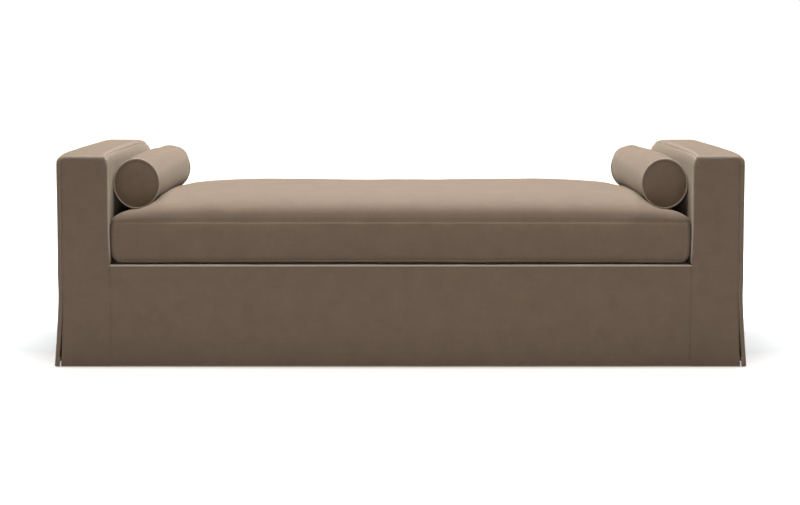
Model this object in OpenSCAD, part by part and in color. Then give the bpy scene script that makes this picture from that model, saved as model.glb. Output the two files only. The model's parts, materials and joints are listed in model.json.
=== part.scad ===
// Backless divan. A bench seat lies between two padded arms, and the whole frame wears a
// cover that falls in one plane to the floor, with a kick pleat at each corner. One boxed
// cushion with a high crown lies on the deck, and a round bolster lies against each arm.
// X runs along the length, Y from the front (negative) to the back, Z up from the floor.

/* [Overall] */
// Length over the outsides of the arms
overall_length = 2080; // [1700:10:2500]
// Depth over the front and rear covers
overall_depth = 980; // [880:10:1100]
// Height of the arms above the floor
arm_height = 645; // [600:5:720]
// Width of each arm
arm_width = 154; // [145:1:190]

/* [Cover] */
// Thickness of the cover cloth with its lining
cover_t = 2.5; // [1.5:0.5:3.5]
// Rounding of the outer and top edges of the arms
edge_r = 10; // [8:1:14]
// Rounding of the top corners of the arms, seen from the front
corner_r = 22; // [16:1:28]
// Gap between the hem and the floor
hem_gap = 6; // [3:1:15]
// How far the outside panels stand out at the hem
flare = 16; // [0:1:22]
// Height above the floor at which the outside panels start to stand out
flare_top = 230; // [120:5:250]
// Height above the floor at which the kick pleats start
pleat_top = 268; // [200:2:272]
// Width of each leg of the cloth behind a kick pleat
pleat_leg = 90; // [60:5:140]

/* [Frame] */
// Height of the corner feet without their glides
foot_h = 120; // [90:5:140]
// Width of the square feet at the top
foot_w = 60; // [48:1:72]
// Width of the square feet at the bottom
foot_base_w = 48; // [42:1:60]
// Height of a glide
glide_h = 6; // [4:1:10]
// Diameter of a glide
glide_d = 34; // [24:1:40]
// Height of the outer rails
rail_h = 150; // [135:5:170]
// Thickness of the rails
rail_t = 25; // [22:1:30]
// Height of the cross rails, which stay clear below the springs
cross_rail_h = 100; // [70:5:115]
// Thickness of the plywood boards in the arms
ply_t = 15; // [12:1:18]
// Thickness of the fibreboard skins of the arms
skin_t = 4; // [3:0.5:6]
// Height of the tack rails inside the arms
tack_h = 60; // [40:5:90]
// Width of the square posts
post_w = 38; // [32:1:45]
// Length of the short sides of a corner block
block_leg = 110; // [95:5:140]
// Height of a corner block
block_h = 60; // [45:5:70]
// Padding on the outside, top and ends of an arm
pad_t = 12.5; // [8:0.5:16]
// Padding on the inside of an arm
inside_pad_t = 18.5; // [12:0.5:22]
// Diameter of the frame screws
screw_d = 4.2; // [3.5:0.1:5]
// Diameter of the screw heads
screw_head_d = 8.4; // [7:0.1:10]
// Height of the screw heads
screw_head_h = 3; // [2:0.5:4]
// Depth that a screw bites into the piece behind the post
screw_bite = 12; // [8:1:14]
// Diameter of the bolts that hold the feet
bolt_d = 8; // [6:1:10]
// Depth of a foot bolt in the foot and in the block above it
bolt_bite = 42; // [30:1:44]
// Diameter of the nail of a glide
nail_d = 3; // [2:0.5:4]
// Length of the nail of a glide
nail_len = 18; // [12:1:24]

/* [Centre leg] */
// Diameter of the centre leg
leg_d = 46; // [40:1:60]
// Gap between the floor and the leveller as it is stored
leveller_gap = 2; // [1:0.5:4]
// Travel of the leveller
leveller_travel = 10; // [6:1:14]
// Diameter of the leveller disc
leveller_d = 38; // [30:1:44]
// Height of the leveller disc
leveller_h = 8; // [6:1:10]
// Diameter of the leveller stem
stem_d = 10; // [8:1:10]
// Clearance round the stem
stem_clear = 0.1; // [0.05:0.05:0.2]
// Length of the threaded insert
insert_len = 25; // [18:1:30]
// Diameter of the threaded insert
insert_d = 15; // [13:1:18]
// Diameter of the flange of the insert
insert_flange_d = 26; // [22:1:32]
// Thickness of the flange of the insert
insert_flange_t = 2; // [1.5:0.5:3]

/* [Suspension] */
// Number of sinuous springs
spring_count = 13; // [9:1:15]
// Width of the loops of a spring
spring_w = 50; // [44:1:56]
// Number of half waves in a spring
spring_loops = 30; // [28:2:32]
// Thickness of the spring wire
wire_w = 4; // [3:0.5:4.5]
// Thickness of the spring clips
clip_t = 1.5; // [1:0.25:2]
// Width of the spring clips
clip_w = 12; // [8:1:14]
// Diameter of the tie wires
tie_d = 4; // [3:0.5:5]
// Thickness of the felt over the springs
insulator_t = 2; // [1:0.5:4]
// Thickness of the deck pad
deck_pad_t = 28.5; // [20:0.5:40]
// Thickness of the dust cover
dust_t = 1.5; // [1:0.5:2]

/* [Seat cushion] */
// Gap between the end seams of the cushion and the arms
seat_gap = 8; // [7:0.5:14]
// Distance of the front and rear seams behind the covers
seat_setback = 17; // [12:1:30]
// Height of the rounded base below the lower seam
seat_base_h = 15; // [10:1:20]
// Height of the band between the seams
seat_band_h = 112; // [90:2:130]
// Rise of the crown above the upper seam
seat_crown = 92; // [60:2:110]
// Rounding of the corners in plan
seat_corner = 30; // [22:1:40]
// Bulge of the band between its seams
band_bulge = 4; // [2:0.5:5]
// How far the corners stand out past the drawn-in sides
corner_ear = 2.5; // [0:0.5:3]
// Length along each side over which a corner stands out
ear_len = 160; // [100:10:200]
// Thickness of the fibre wrap round the sides of the core
side_wrap_t = 20; // [15:1:30]
// Air gap between the deck and the cushion, and between other soft pieces
rest_gap = 0.3; // [0.2:0.05:0.5]

/* [Bolsters] */
// Diameter of a bolster
bolster_d = 146; // [120:1:150]
// Length of a bolster over its domed ends
bolster_length = 813; // [700:1:830]
// Distance of the front end of a bolster behind the front cover
bolster_front = 103; // [75:1:140]
// Depth to which a bolster presses into the crown
bolster_sink = 18; // [10:1:24]
// Gap between a bolster and the dent it lies in, at the corners of the dent's facets
dent_gap = 1.1; // [0.9:0.1:1.6]
// Amount by which the radius falls towards the ends
bolster_taper = 1.2; // [0:0.1:3]
// Length of the tapered stretch at each end
taper_len = 120; // [60:5:140]
// Height of the domed ends
dome_h = 5; // [4:1:14]
// Diameter of the welt round each end
welt_d = 5; // [4.6:0.2:8]

/* [Zips] */
// Length of the zip of the seat cushion
seat_zip_len = 1150; // [600:10:1180]
// Length of the zip of a bolster
bolster_zip_len = 520; // [300:10:540]
// Width of the zip tape
zip_w = 26; // [20:1:28]
// Thickness of the zip tape
zip_t = 1.5; // [1:0.25:2]
// Width of the coil of a zip
coil_w = 5; // [4:0.5:6]
// Height of the coil of a zip
coil_h = 2; // [1.5:0.25:2.5]
// Length of a zip slider
slider_len = 12; // [9:1:15]
// Wall of a zip slider
slider_wall = 1.6; // [1.2:0.1:2]
// Length of the pull of a zip slider
pull_len = 28; // [20:1:34]
// Width of the pull of a zip slider
pull_w = 8; // [6:1:10]

/* [Hidden] */
$fn = 64;

// Overrun of every cut
over = 5;

// Planes of the frame
half_l = overall_length / 2;
half_d = overall_depth / 2;
inner_x = half_l - arm_width;
front_in = half_d - cover_t;
rail_x = half_l - 2 * cover_t;
rail_y = half_d - 2 * cover_t;
rail_in_x = rail_x - rail_t;
rail_in_y = rail_y - rail_t;
rail_z = glide_h + foot_h;
rail_top = rail_z + rail_h;
block_top = rail_z + block_h;

// Layers of the deck, from the rails up
spring_z = rail_top + clip_t;
insulator_z = spring_z + wire_w + clip_t;
deck_pad_z = insulator_z + insulator_t;
deck_z = deck_pad_z + deck_pad_t;
deck_top = deck_z + cover_t;

// Hollow of the padding, which the boards of an arm fill
hollow_in = inner_x + cover_t + inside_pad_t;
hollow_out = half_l - cover_t - pad_t;
hollow_y = rail_in_y + ply_t;
hollow_top = arm_height - cover_t - pad_t;
board_in = hollow_in + skin_t;
board_out = hollow_out - skin_t;
board_top = hollow_top - ply_t;

// Places of the feet, screws and springs
foot_x = rail_in_x - foot_w / 2;
foot_y = rail_in_y - foot_w / 2;
post_x = rail_in_x - post_w / 2;
post_y = rail_in_y - post_w / 2;
long_rail_screw_shares = [0.2, 0.8];
end_rail_screw_shares = [0.4, 0.6];
board_screw_shares = [0.2, 0.8];
spring_pitch = 2 * inner_x / (spring_count + 0.5);
spring_half = rail_in_y + rail_t / 2;
tie_y = spring_half / 3;
side_cross_x = inner_x / 2;

// Centre leg
leg_z = leveller_gap + leveller_h + leveller_travel + insert_flange_t + 2 * leveller_h;
stem_top = leg_z + insert_len + leveller_h;

// Seat cushion
seat_z = deck_top + rest_gap;
seam_low = seat_z + seat_base_h;
seam_high = seam_low + seat_band_h;
seat_a = inner_x - seat_gap;
seat_b = half_d - seat_setback;
base_round = side_wrap_t - cover_t / 2;
band_shares = [0, 0.12, 0.35, 0.65, 0.88, 1];
bulge_shares = [0, 0.55, 1, 1, 0.55, 0];
short_steps = 5;
long_steps = 8;
corner_steps = 3;

// Bolsters. Their centre follows from the arm beside them and the crown below them.
bolster_r = bolster_d / 2;
bolster_x = inner_x - rest_gap - bolster_r;
bolster_z = seam_high + crown(bolster_x, 0) - bolster_sink + bolster_r;
bolster_y = bolster_front + bolster_length / 2 - half_d;
bolster_end_r = bolster_r - bolster_taper;
welt_ring_r = bolster_r - welt_d / 2;
tube_half = bolster_length / 2 - dome_h - cover_t;
core_r = bolster_r - cover_t - bolster_taper - rest_gap;
dome_r_shares = [1, 0.93, 0.86, 0.66, 0.4, 0];
dome_h_shares = [0, 0.05, 0.42, 0.8, 0.95, 1];
dent_r = bolster_r + dent_gap;
dent_steps = [27 : -14 : -43];

// Zips
seat_zip_y = seat_b + band_bulge;
seat_zip_run = min(seat_zip_len, 2 * (seat_a - seat_corner - ear_len));
seat_zip_z = seam_low + seat_band_h / 2;
bolster_zip_angle = 135;
slider_half = coil_w / 2 + rest_gap + slider_wall;
slider_base = zip_t + rest_gap;
slider_slot = zip_t + coil_h + rest_gap;
slider_top = slider_slot + slider_wall;

// Basic shapes and copies

module block(x0, x1, y0, y1, z0, z1) {
    translate([x0, y0, z0]) cube([x1 - x0, y1 - y0, z1 - z0]);
}

module slab(x, y, z0, z1) {
    block(-x, x, -y, y, z0, z1);
}

module both_x() {
    children();
    mirror([1, 0, 0]) children();
}

module both_y() {
    children();
    mirror([0, 1, 0]) children();
}

module every_corner() {
    both_x() both_y() children();
}

// Extrude an outline drawn in X and Z along Y, centred on the origin
module along_y(length) {
    rotate([90, 0, 0]) translate([0, 0, -length / 2]) linear_extrude(length) children();
}

// Extrude an outline drawn in Y and Z along X, centred on the origin
module along_x(length) {
    rotate([90, 0, 90]) translate([0, 0, -length / 2]) linear_extrude(length) children();
}

// Faces are listed clockwise as seen from outside
function quad(a, b, c, d) = [[a, b, c], [a, c, d]];

function turned(faces) = [for (f = faces) [f[2], f[1], f[0]]];

function flat(rows) = [for (row = rows) for (p = row) p];

// A sheet of cloth between an outer and an inner grid of points
module sheet(outer, inner) {
    cols = len(outer[0]);
    rows = len(outer);
    in0 = rows * cols;
    last_c = cols - 1;
    last_r = (rows - 1) * cols;
    skins = [for (r = [0 : rows - 2]) for (c = [0 : cols - 2])
        let (a = r * cols + c, b = a + 1, d = a + cols, e = d + 1)
        for (f = concat(quad(a, b, e, d), quad(in0 + a, in0 + d, in0 + e, in0 + b))) f];
    long_rims = [for (r = [0 : rows - 2])
        let (a = r * cols, d = a + cols, b = a + last_c, e = d + last_c)
        for (f = concat(quad(a, d, in0 + d, in0 + a), quad(e, b, in0 + b, in0 + e))) f];
    end_rims = [for (c = [0 : cols - 2])
        let (a = c, b = c + 1, d = last_r + c, e = d + 1)
        for (f = concat(quad(b, a, in0 + a, in0 + b), quad(d, e, in0 + e, in0 + d))) f];
    polyhedron(concat(flat(outer), flat(inner)), concat(skins, long_rims, end_rims));
}

// Faces of the bands between rings of n points, which start at point p0 and face outwards or up
function ring_faces(p0, rings, n) = [for (k = [0 : rings - 2]) for (j = [0 : n - 1])
    let (a = p0 + k * n + j, b = p0 + k * n + (j + 1) % n)
    for (f = quad(a, a + n, b + n, b)) f];

// Faces of a fan that closes the ring at point p0 with the centre point c, facing up
function fan_faces(p0, n, c) = [for (j = [0 : n - 1]) [p0 + j, c, p0 + (j + 1) % n]];

// Faces of a rim that joins ring p0 to the ring of the inner skin at q0, facing down
function rim_faces(p0, q0, n) = [for (j = [0 : n - 1])
    let (k = (j + 1) % n) for (f = quad(p0 + j, p0 + k, q0 + k, q0 + j)) f];

// A domed sheet: rings from the edge to the middle, closed by a centre point, in two skins
module dome_sheet(outer, outer_mid, inner, inner_mid, up = true) {
    n = len(outer[0]);
    rings = len(outer);
    in0 = rings * n + 1;
    mid = rings * n;
    faces = concat(
        ring_faces(0, rings, n), fan_faces(mid - n, n, mid),
        turned(ring_faces(in0, rings, n)), turned(fan_faces(in0 + mid - n, n, in0 + mid)),
        rim_faces(0, in0, n));
    polyhedron(concat(flat(outer), [outer_mid], flat(inner), [inner_mid]),
        up ? faces : turned(faces));
}

// A solid under a dome, closed by a flat base
module dome_solid(rings_pts, mid_pt, base_pt) {
    n = len(rings_pts[0]);
    mid = len(rings_pts) * n;
    polyhedron(concat(flat(rings_pts), [mid_pt, base_pt]),
        concat(ring_faces(0, len(rings_pts), n), fan_faces(mid - n, n, mid),
            turned(fan_faces(0, n, mid + 1))));
}

// A band round a ring, in two skins, listed from the bottom up
module band_sheet(outer, inner) {
    n = len(outer[0]);
    rings = len(outer);
    in0 = rings * n;
    top = in0 - n;
    polyhedron(concat(flat(outer), flat(inner)),
        concat(ring_faces(0, rings, n), turned(ring_faces(in0, rings, n)),
            rim_faces(0, in0, n), turned(rim_faces(top, in0 + top, n))));
}

// Shape of the arms. The skin k below the surface is worked out for the right arm at
// stations, which run round the front edge, along the arm and round the rear edge.

edge_steps = 4;
arc_steps = 4;
seam_step = 2;
stations = concat(
    [for (i = [0 : edge_steps]) [90 * i / edge_steps, -1]],
    [for (i = [edge_steps : -1 : 0]) [90 * i / edge_steps, 1]]);

function station_inset(k, st) = (edge_r - k) * (1 - sin(st[0]));

function station_y(k, st) = st[1] * (half_d - k - (edge_r - k) * (1 - cos(st[0])));

function outer_arc(k, s) = [for (i = [0 : arc_steps]) let (a = 90 * i / arc_steps)
    [half_l - corner_r + (corner_r - k - s) * cos(a),
     arm_height - corner_r + (corner_r - k - s) * sin(a)]];

function inner_arc(k, s) = [for (i = [0 : arc_steps]) let (a = 90 + 90 * i / arc_steps)
    [inner_x + corner_r + (corner_r - k) * cos(a),
     arm_height - s - corner_r + (corner_r - k) * sin(a)]];

function first(list, count) = [for (i = [0 : count - 1]) list[i]];

function from(list, start) = [for (i = [start : len(list) - 1]) list[i]];

// Section from the outer seam over the top to the seam inside
function top_section(k, s) = concat(outer_arc(k, s), first(inner_arc(k, s), seam_step + 1));

// Section from the inside seam down to the deck
function inside_section(k, s) = concat(from(inner_arc(k, s), seam_step), [[inner_x + k, rail_top]]);

function placed(section, y) = [for (p = section) [p[0], y, p[1]]];

// Section of the outside panel, which stands out towards the hem
outside_levels = concat(
    [for (i = [0 : 5]) hem_gap + (flare_top - hem_gap) * i / 5],
    [pleat_top, arm_height - corner_r]);

function flare_at(z) = flare * pow(max(0, flare_top - z) / (flare_top - hem_gap), 1.25);

function outside_row(k, st) = [for (z = outside_levels)
    [half_l - k - station_inset(k, st) + flare_at(z), station_y(k, st), z]];

module arm_top_cover() {
    sheet([for (st = stations) placed(top_section(0, station_inset(0, st)), station_y(0, st))],
        [for (st = stations)
            placed(top_section(cover_t, station_inset(cover_t, st)), station_y(cover_t, st))]);
}

module arm_inside_cover() {
    sheet([for (st = stations) placed(inside_section(0, station_inset(0, st)), station_y(0, st))],
        [for (st = stations)
            placed(inside_section(cover_t, station_inset(cover_t, st)), station_y(cover_t, st))]);
}

module outside_cover() {
    sheet([for (st = stations) outside_row(0, st)], [for (st = stations) outside_row(cover_t, st)]);
}

// End panel of an arm, cut on the front arm: it falls from the top to the hem
module arm_end_cover() {
    front = arm_end_outline(0);
    back = arm_end_outline(cover_t);
    n = len(front);
    polyhedron(concat([for (p = front) [p[0], -half_d, p[1]]], [for (p = back) [p[0], -front_in, p[1]]]),
        concat([for (j = [1 : n - 2]) [0, j + 1, j]], [for (j = [1 : n - 2]) [n, n + j, n + j + 1]],
            rim_faces(0, n, n)));
}

function arm_end_outline(k) = let (s = edge_r - k) concat(
    [[half_l - edge_r, hem_gap]], outer_arc(k, s), inner_arc(k, s), [[inner_x + k, hem_gap]]);

function padding_ring(st) = let (k = cover_t, s = station_inset(k, st), y = station_y(k, st)) placed(
    concat([[half_l - k - s, rail_top]], outer_arc(k, s), inner_arc(k, s), [[inner_x + k, rail_top]]), y);

module arm_padding() {
    rings = [for (st = stations) padding_ring(st)];
    n = len(rings[0]);
    last = (len(rings) - 1) * n;
    difference() {
        polyhedron(flat(rings), concat(
            [for (f = ring_faces(0, len(rings), n)) [f[2], f[1], f[0]]],
            [for (j = [1 : n - 2]) [0, j + 1, j]],
            [for (j = [1 : n - 2]) [last, last + j, last + j + 1]]));
        block(hollow_in, hollow_out, -hollow_y, hollow_y, rail_top - over, hollow_top);
    }
}

// Wooden frame

module long_rail() {
    color("burlywood") difference() {
        block(-half_l + edge_r, half_l - edge_r, rail_in_y, rail_y, rail_z, rail_top);
        both_x() long_rail_screws() screw_hole();
    }
}

module end_rail() {
    color("burlywood") difference() {
        block(rail_in_x, rail_x, -rail_in_y, rail_in_y, rail_z, rail_top);
        both_y() end_rail_screws() screw_hole();
    }
}

module cross_rails() {
    color("burlywood") for (x = [-side_cross_x, 0, side_cross_x]) difference() {
        translate([x, 0, 0])
            block(-rail_t / 2, rail_t / 2, -rail_in_y, rail_in_y, rail_z, rail_z + cross_rail_h);
        leg_bolt_hole();
    }
}

module corner_blocks() {
    color("tan") every_corner() difference() {
        translate([0, 0, rail_z]) linear_extrude(block_h) polygon([
            [rail_in_x, rail_in_y], [rail_in_x - block_leg, rail_in_y],
            [rail_in_x, rail_in_y - block_leg]]);
        translate([foot_x, foot_y, rail_z - over]) cylinder(d = bolt_d, h = block_h + 2 * over);
    }
}

module arm_posts() {
    color("burlywood") every_corner() difference() {
        block(rail_in_x - post_w, rail_in_x, rail_in_y - post_w, rail_in_y, block_top, board_top);
        long_rail_screws() screw_hole();
        end_rail_screws() screw_hole();
        board_screws() screw_hole();
    }
}

module arm_end_boards() {
    color("wheat") every_corner() difference() {
        block(board_in, board_out, rail_in_y, hollow_y, rail_top, board_top);
        board_screws() screw_hole();
    }
}

module arm_top_boards() {
    color("wheat") both_x()
        block(board_in, board_out, -hollow_y, hollow_y, board_top, hollow_top);
}

module arm_tack_rails() {
    color("burlywood") both_x()
        block(board_in, board_in + rail_t, -rail_in_y, rail_in_y, rail_top, rail_top + tack_h);
}

module arm_inner_skins() {
    color("peru") both_x()
        block(hollow_in, board_in, -hollow_y, hollow_y, rail_top, hollow_top);
}

module arm_outer_skins() {
    color("peru") both_x()
        block(board_out, hollow_out, -hollow_y, hollow_y, rail_top, hollow_top);
}

// Screws through a post into the long rail, the end rail and the board above the long rail

module long_rail_screws() {
    for (share = long_rail_screw_shares)
        translate([post_x, rail_in_y - post_w, block_top + share * (rail_top - block_top)])
            rotate([-90, 0, 0]) children();
}

module end_rail_screws() {
    for (share = end_rail_screw_shares)
        translate([rail_in_x - post_w, post_y, block_top + share * (rail_top - block_top)])
            rotate([0, 90, 0]) children();
}

module board_screws() {
    for (share = board_screw_shares)
        translate([post_x, rail_in_y - post_w, rail_top + share * (board_top - rail_top)])
            rotate([-90, 0, 0]) children();
}

module screw_hole() {
    cylinder(d = screw_d, h = post_w + screw_bite);
}

module screw() {
    screw_hole();
    translate([0, 0, -screw_head_h]) cylinder(d = screw_head_d, h = screw_head_h);
}

module frame_screws() {
    color("silver") every_corner() {
        long_rail_screws() screw();
        end_rail_screws() screw();
        board_screws() screw();
    }
}

// Feet and centre leg

module foot_outline() {
    polygon([[-foot_w / 2, rail_z], [foot_w / 2, rail_z], [foot_w / 2, rail_z - foot_h / 3],
        [foot_base_w / 2, glide_h], [-foot_base_w / 2, glide_h], [-foot_w / 2, rail_z - foot_h / 3]]);
}

module feet() {
    color("saddlebrown") every_corner() translate([foot_x, foot_y, 0]) difference() {
        intersection() {
            along_y(foot_w) foot_outline();
            along_x(foot_w) foot_outline();
        }
        translate([0, 0, rail_z - bolt_bite]) cylinder(d = bolt_d, h = bolt_bite + over);
        translate([0, 0, glide_h - over]) cylinder(d = nail_d, h = nail_len + over);
    }
}

module foot_glides() {
    color("dimgray") every_corner() translate([foot_x, foot_y, 0]) {
        cylinder(d = glide_d, h = glide_h);
        cylinder(d = nail_d, h = glide_h + nail_len);
    }
}

module foot_bolts() {
    color("silver") {
        every_corner() translate([foot_x, foot_y, 0]) bolt();
        bolt();
    }
}

module bolt() {
    translate([0, 0, rail_z - bolt_bite]) cylinder(d = bolt_d, h = 2 * bolt_bite);
}

module leg_bolt_hole() {
    translate([0, 0, rail_z - bolt_bite]) cylinder(d = bolt_d, h = 2 * bolt_bite);
}

module centre_leg() {
    color("saddlebrown") difference() {
        translate([0, 0, leg_z]) cylinder(d = leg_d, h = rail_z - leg_z);
        leg_bolt_hole();
        translate([0, 0, leg_z - over]) cylinder(d = insert_d, h = insert_len + over);
        translate([0, 0, leg_z - over])
            cylinder(d = stem_d + 4 * stem_clear, h = stem_top + leveller_travel + over - leg_z + over);
    }
}

module centre_leg_insert() {
    color("silver") difference() {
        union() {
            translate([0, 0, leg_z]) cylinder(d = insert_d, h = insert_len);
            translate([0, 0, leg_z - insert_flange_t]) cylinder(d = insert_flange_d, h = insert_flange_t);
        }
        translate([0, 0, leg_z - over])
            cylinder(d = stem_d + 2 * stem_clear, h = insert_len + 2 * over);
    }
}

module centre_leg_leveller() {
    color("dimgray") {
        translate([0, 0, leveller_gap]) cylinder(d = leveller_d, h = leveller_h);
        translate([0, 0, leveller_gap]) cylinder(d = stem_d, h = stem_top - leveller_gap);
    }
}

// Suspension and deck

// One edge of the wire: q is 1 on the left of the wire's run and -1 on its right
function wire_edge(q) = let (p = 2 * spring_half / spring_loops, r = p / 2,
    h = spring_w / 2 - r - wire_w / 2)
    concat([[-h, -spring_half + q * wire_w / 2]],
        [for (i = [0 : spring_loops - 1]) let (way = i % 2 == 0 ? 1 : -1)
            for (a = [-90 : 45 : 90]) let (ra = r - q * way * wire_w / 2)
                [way * (h + ra * cos(a)), -spring_half + (i + 0.5) * p + ra * sin(a)]],
        [[-h, spring_half + q * wire_w / 2]]);

function backwards(list) = [for (i = [len(list) - 1 : -1 : 0]) list[i]];

module each_spring() {
    for (i = [0 : spring_count - 1])
        translate([(i - (spring_count - 1) / 2) * spring_pitch, 0, 0]) children();
}

module sinuous_springs() {
    color("slategray") each_spring() translate([0, 0, spring_z]) linear_extrude(wire_w)
        polygon(concat(wire_edge(1), backwards(wire_edge(-1))));
}

// A clip is a hook that is nailed to the rail and closes over the end bar of a spring
module spring_clips() {
    web = spring_half + wire_w / 2;
    heel = web - 2 * wire_w;
    lip = web - wire_w;
    color("silver") each_spring() both_y() along_x(clip_w) polygon([
        [heel, rail_top], [web + clip_t, rail_top], [web + clip_t, insulator_z],
        [lip, insulator_z], [lip, insulator_z - clip_t], [web, insulator_z - clip_t],
        [web, spring_z], [heel, spring_z]]);
}

module spring_tie_wires() {
    color("darkgray") both_y() translate([0, tie_y, spring_z - tie_d / 2]) rotate([0, 90, 0])
        cylinder(d = tie_d, h = (spring_count - 1) * spring_pitch + spring_w, center = true);
}

module spring_insulator() {
    color("gray") slab(inner_x, rail_y, insulator_z, deck_pad_z);
}

module deck_pad() {
    color("ivory") slab(inner_x, front_in, deck_pad_z, deck_z);
}

module deck_cover() {
    color("#766556") slab(inner_x, front_in, deck_z, deck_top);
}

module dust_cover() {
    color("#2b2b2b") difference() {
        slab(half_l - edge_r, rail_y - cover_t, rail_z - dust_t, rail_z);
        every_corner() translate([foot_x, foot_y, 0])
            slab(foot_w / 2 + cover_t, foot_w / 2 + cover_t, rail_z - dust_t - over, rail_z + over);
        translate([0, 0, rail_z - dust_t - over]) cylinder(d = leg_d + rest_gap, h = dust_t + 2 * over);
    }
}

// Skirt

module skirt_panel() {
    color("#766556") block(-inner_x, inner_x, -half_d, -front_in, hem_gap, deck_top);
}

function pleat_arc(k) = [for (i = [0 : edge_steps]) let (st = [90 * i / edge_steps, 1])
    [half_l - k - station_inset(k, st), station_y(k, st)]];

module corner_pleats() {
    color("#5c4e42") every_corner() translate([0, 0, hem_gap]) linear_extrude(pleat_top - hem_gap)
        polygon(concat(
            [[half_l - pleat_leg, front_in]], pleat_arc(cover_t), [[half_l - cover_t, half_d - pleat_leg]],
            [[rail_x, half_d - pleat_leg]], backwards(pleat_arc(2 * cover_t)),
            [[half_l - pleat_leg, rail_y]]));
}

// Seat cushion. Rings run round the cushion, and each point carries the place it would have
// on a ring with sharp corners, from which the height of the crown is worked out.

function crown(x, y) = seat_crown * sqrt(max(0, 1 - pow(x / seat_a, 6)) * max(0, 1 - pow(y / seat_b, 2)));

function side_shares(steps) = [for (i = [0 : steps]) sin(90 * (2 * i / steps - 1))];

function ring_corner(a, b, r, turn) = let (sx = turn == 1 || turn == 2 ? -1 : 1, sy = turn > 1 ? -1 : 1,
    cx = sx * (a - r), cy = sy * (b - r))
    [for (i = [1 : corner_steps - 1]) let (t = 90 * (turn + i / corner_steps),
        m = max(abs(cos(t)), abs(sin(t))))
        [cx + r * cos(t), cy + r * sin(t), cx + r * cos(t) / m, cy + r * sin(t) / m]];

function ring(a, b, r) = concat(
    [for (s = side_shares(short_steps)) [a, s * (b - r), a, s * (b - r)]], ring_corner(a, b, r, 0),
    [for (s = side_shares(long_steps)) [-s * (a - r), b, -s * (a - r), b]], ring_corner(a, b, r, 1),
    [for (s = side_shares(short_steps)) [-a, -s * (b - r), -a, -s * (b - r)]], ring_corner(a, b, r, 2),
    [for (s = side_shares(long_steps)) [s * (a - r), -b, s * (a - r), -b]], ring_corner(a, b, r, 3));

function ear(v, half) = corner_ear * pow(max(0, abs(v) - half + ear_len) / ear_len, 2);

// Stretch a ring point outwards near the corners, less so towards the middle of the cushion
function eared(p) = [
    p[0] + sign(p[0]) * ear(p[1], seat_b) * pow(abs(p[0]) / seat_a, 8),
    p[1] + sign(p[1]) * ear(p[0], seat_a) * pow(abs(p[1]) / seat_b, 8)];

// Offsets of the rings from the edge: the rolled edge, the lines along the dent, the crown
edge_shares = [0, 0.006, 0.019, 0.04];
crown_shares = [0.06, 0.18, 0.38, 0.65, 1];
dent_lines = [for (t = dent_steps) seat_a - bolster_x - dent_r * sin(t)];
dent_end = dent_lines[len(dent_lines) - 1];
middle = seat_b - seat_corner - side_wrap_t;
ring_offsets = concat([for (s = edge_shares) s * seat_b], dent_lines,
    [for (s = crown_shares) dent_end + s * (middle - dent_end)]);

// Underside of a bolster with its gap, at the distance x from the middle of the seat
function dent(x) = abs(x - bolster_x) < dent_r
    ? bolster_z - sqrt(pow(dent_r, 2) - pow(x - bolster_x, 2)) : arm_height;

function seat_top_ring(k, offset) = [for (p = ring(seat_a - k - offset, seat_b - k - offset, seat_corner))
    let (q = eared(p), z = min(seam_high + crown(abs(p[2]) + k, abs(p[3]) + k), dent(abs(q[0]) + k)))
    [q[0], q[1], z - k * min(1, offset / (4 * cover_t))]];

function seat_base_ring(k, a) = let (offset = k + base_round * (1 - cos(a)))
    [for (p = ring(seat_a - offset, seat_b - offset, seat_corner))
        let (q = eared(p)) [q[0], q[1], seam_low - (seat_base_h - k) * sin(a)]];

function seat_band_ring(k, i) = let (out = bulge_shares[i] * band_bulge)
    [for (p = ring(seat_a - k + out, seat_b - k + out, seat_corner + out))
        let (q = eared(p)) [q[0], q[1], seam_low + band_shares[i] * seat_band_h]];

function seat_outline(k) = [for (p = ring(seat_a - k, seat_b - k, seat_corner)) eared(p)];

function seat_top_rings(k) = [for (offset = ring_offsets) seat_top_ring(k, offset)];

module seat_cover_top() {
    color("#9c8a7a") dome_sheet(seat_top_rings(0), [0, 0, seam_high + seat_crown],
        seat_top_rings(cover_t), [0, 0, seam_high + seat_crown - cover_t]);
}

module seat_cover_band() {
    levels = [0 : len(band_shares) - 1];
    color("#766556") band_sheet([for (i = levels) seat_band_ring(0, i)],
        [for (i = levels) seat_band_ring(cover_t, i)]);
}

module seat_cover_bottom() {
    color("#766556") dome_sheet([for (a = [0 : 30 : 90]) seat_base_ring(0, a)], [0, 0, seat_z],
        [for (a = [0 : 30 : 90]) seat_base_ring(cover_t, a)], [0, 0, seat_z + cover_t], up = false);
}

module seat_core() {
    color("khaki") translate([0, 0, seat_z + cover_t]) linear_extrude(seam_high - seat_z - cover_t)
        polygon(seat_outline(cover_t + side_wrap_t));
}

// Fibre wrap: a crowned pad over the core and a band round its sides
module seat_wrap() {
    color("white") {
        dome_solid(seat_top_rings(cover_t), [0, 0, seam_high + seat_crown - cover_t], [0, 0, seam_high]);
        translate([0, 0, seam_low]) linear_extrude(seat_band_h) difference() {
            polygon(seat_outline(cover_t));
            polygon(seat_outline(cover_t + side_wrap_t));
        }
    }
}

// Zips. A slider straddles the coil, and its pull lies on top of it.

module slider(pull) {
    difference() {
        union() {
            block(-slider_half, slider_half, -slider_len / 2, slider_len / 2, slider_base, slider_top);
            children();
        }
        block(-coil_w / 2 - rest_gap, coil_w / 2 + rest_gap, -pull, pull, -over, slider_slot);
    }
}

module seat_zip() {
    color("#4b4038") translate([0, seat_zip_y, seat_zip_z]) {
        block(-seat_zip_run / 2, seat_zip_run / 2, 0, zip_t, -zip_w / 2, zip_w / 2);
        block(-seat_zip_run / 2, seat_zip_run / 2, zip_t, zip_t + coil_h, -coil_w / 2, coil_w / 2);
    }
}

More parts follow.
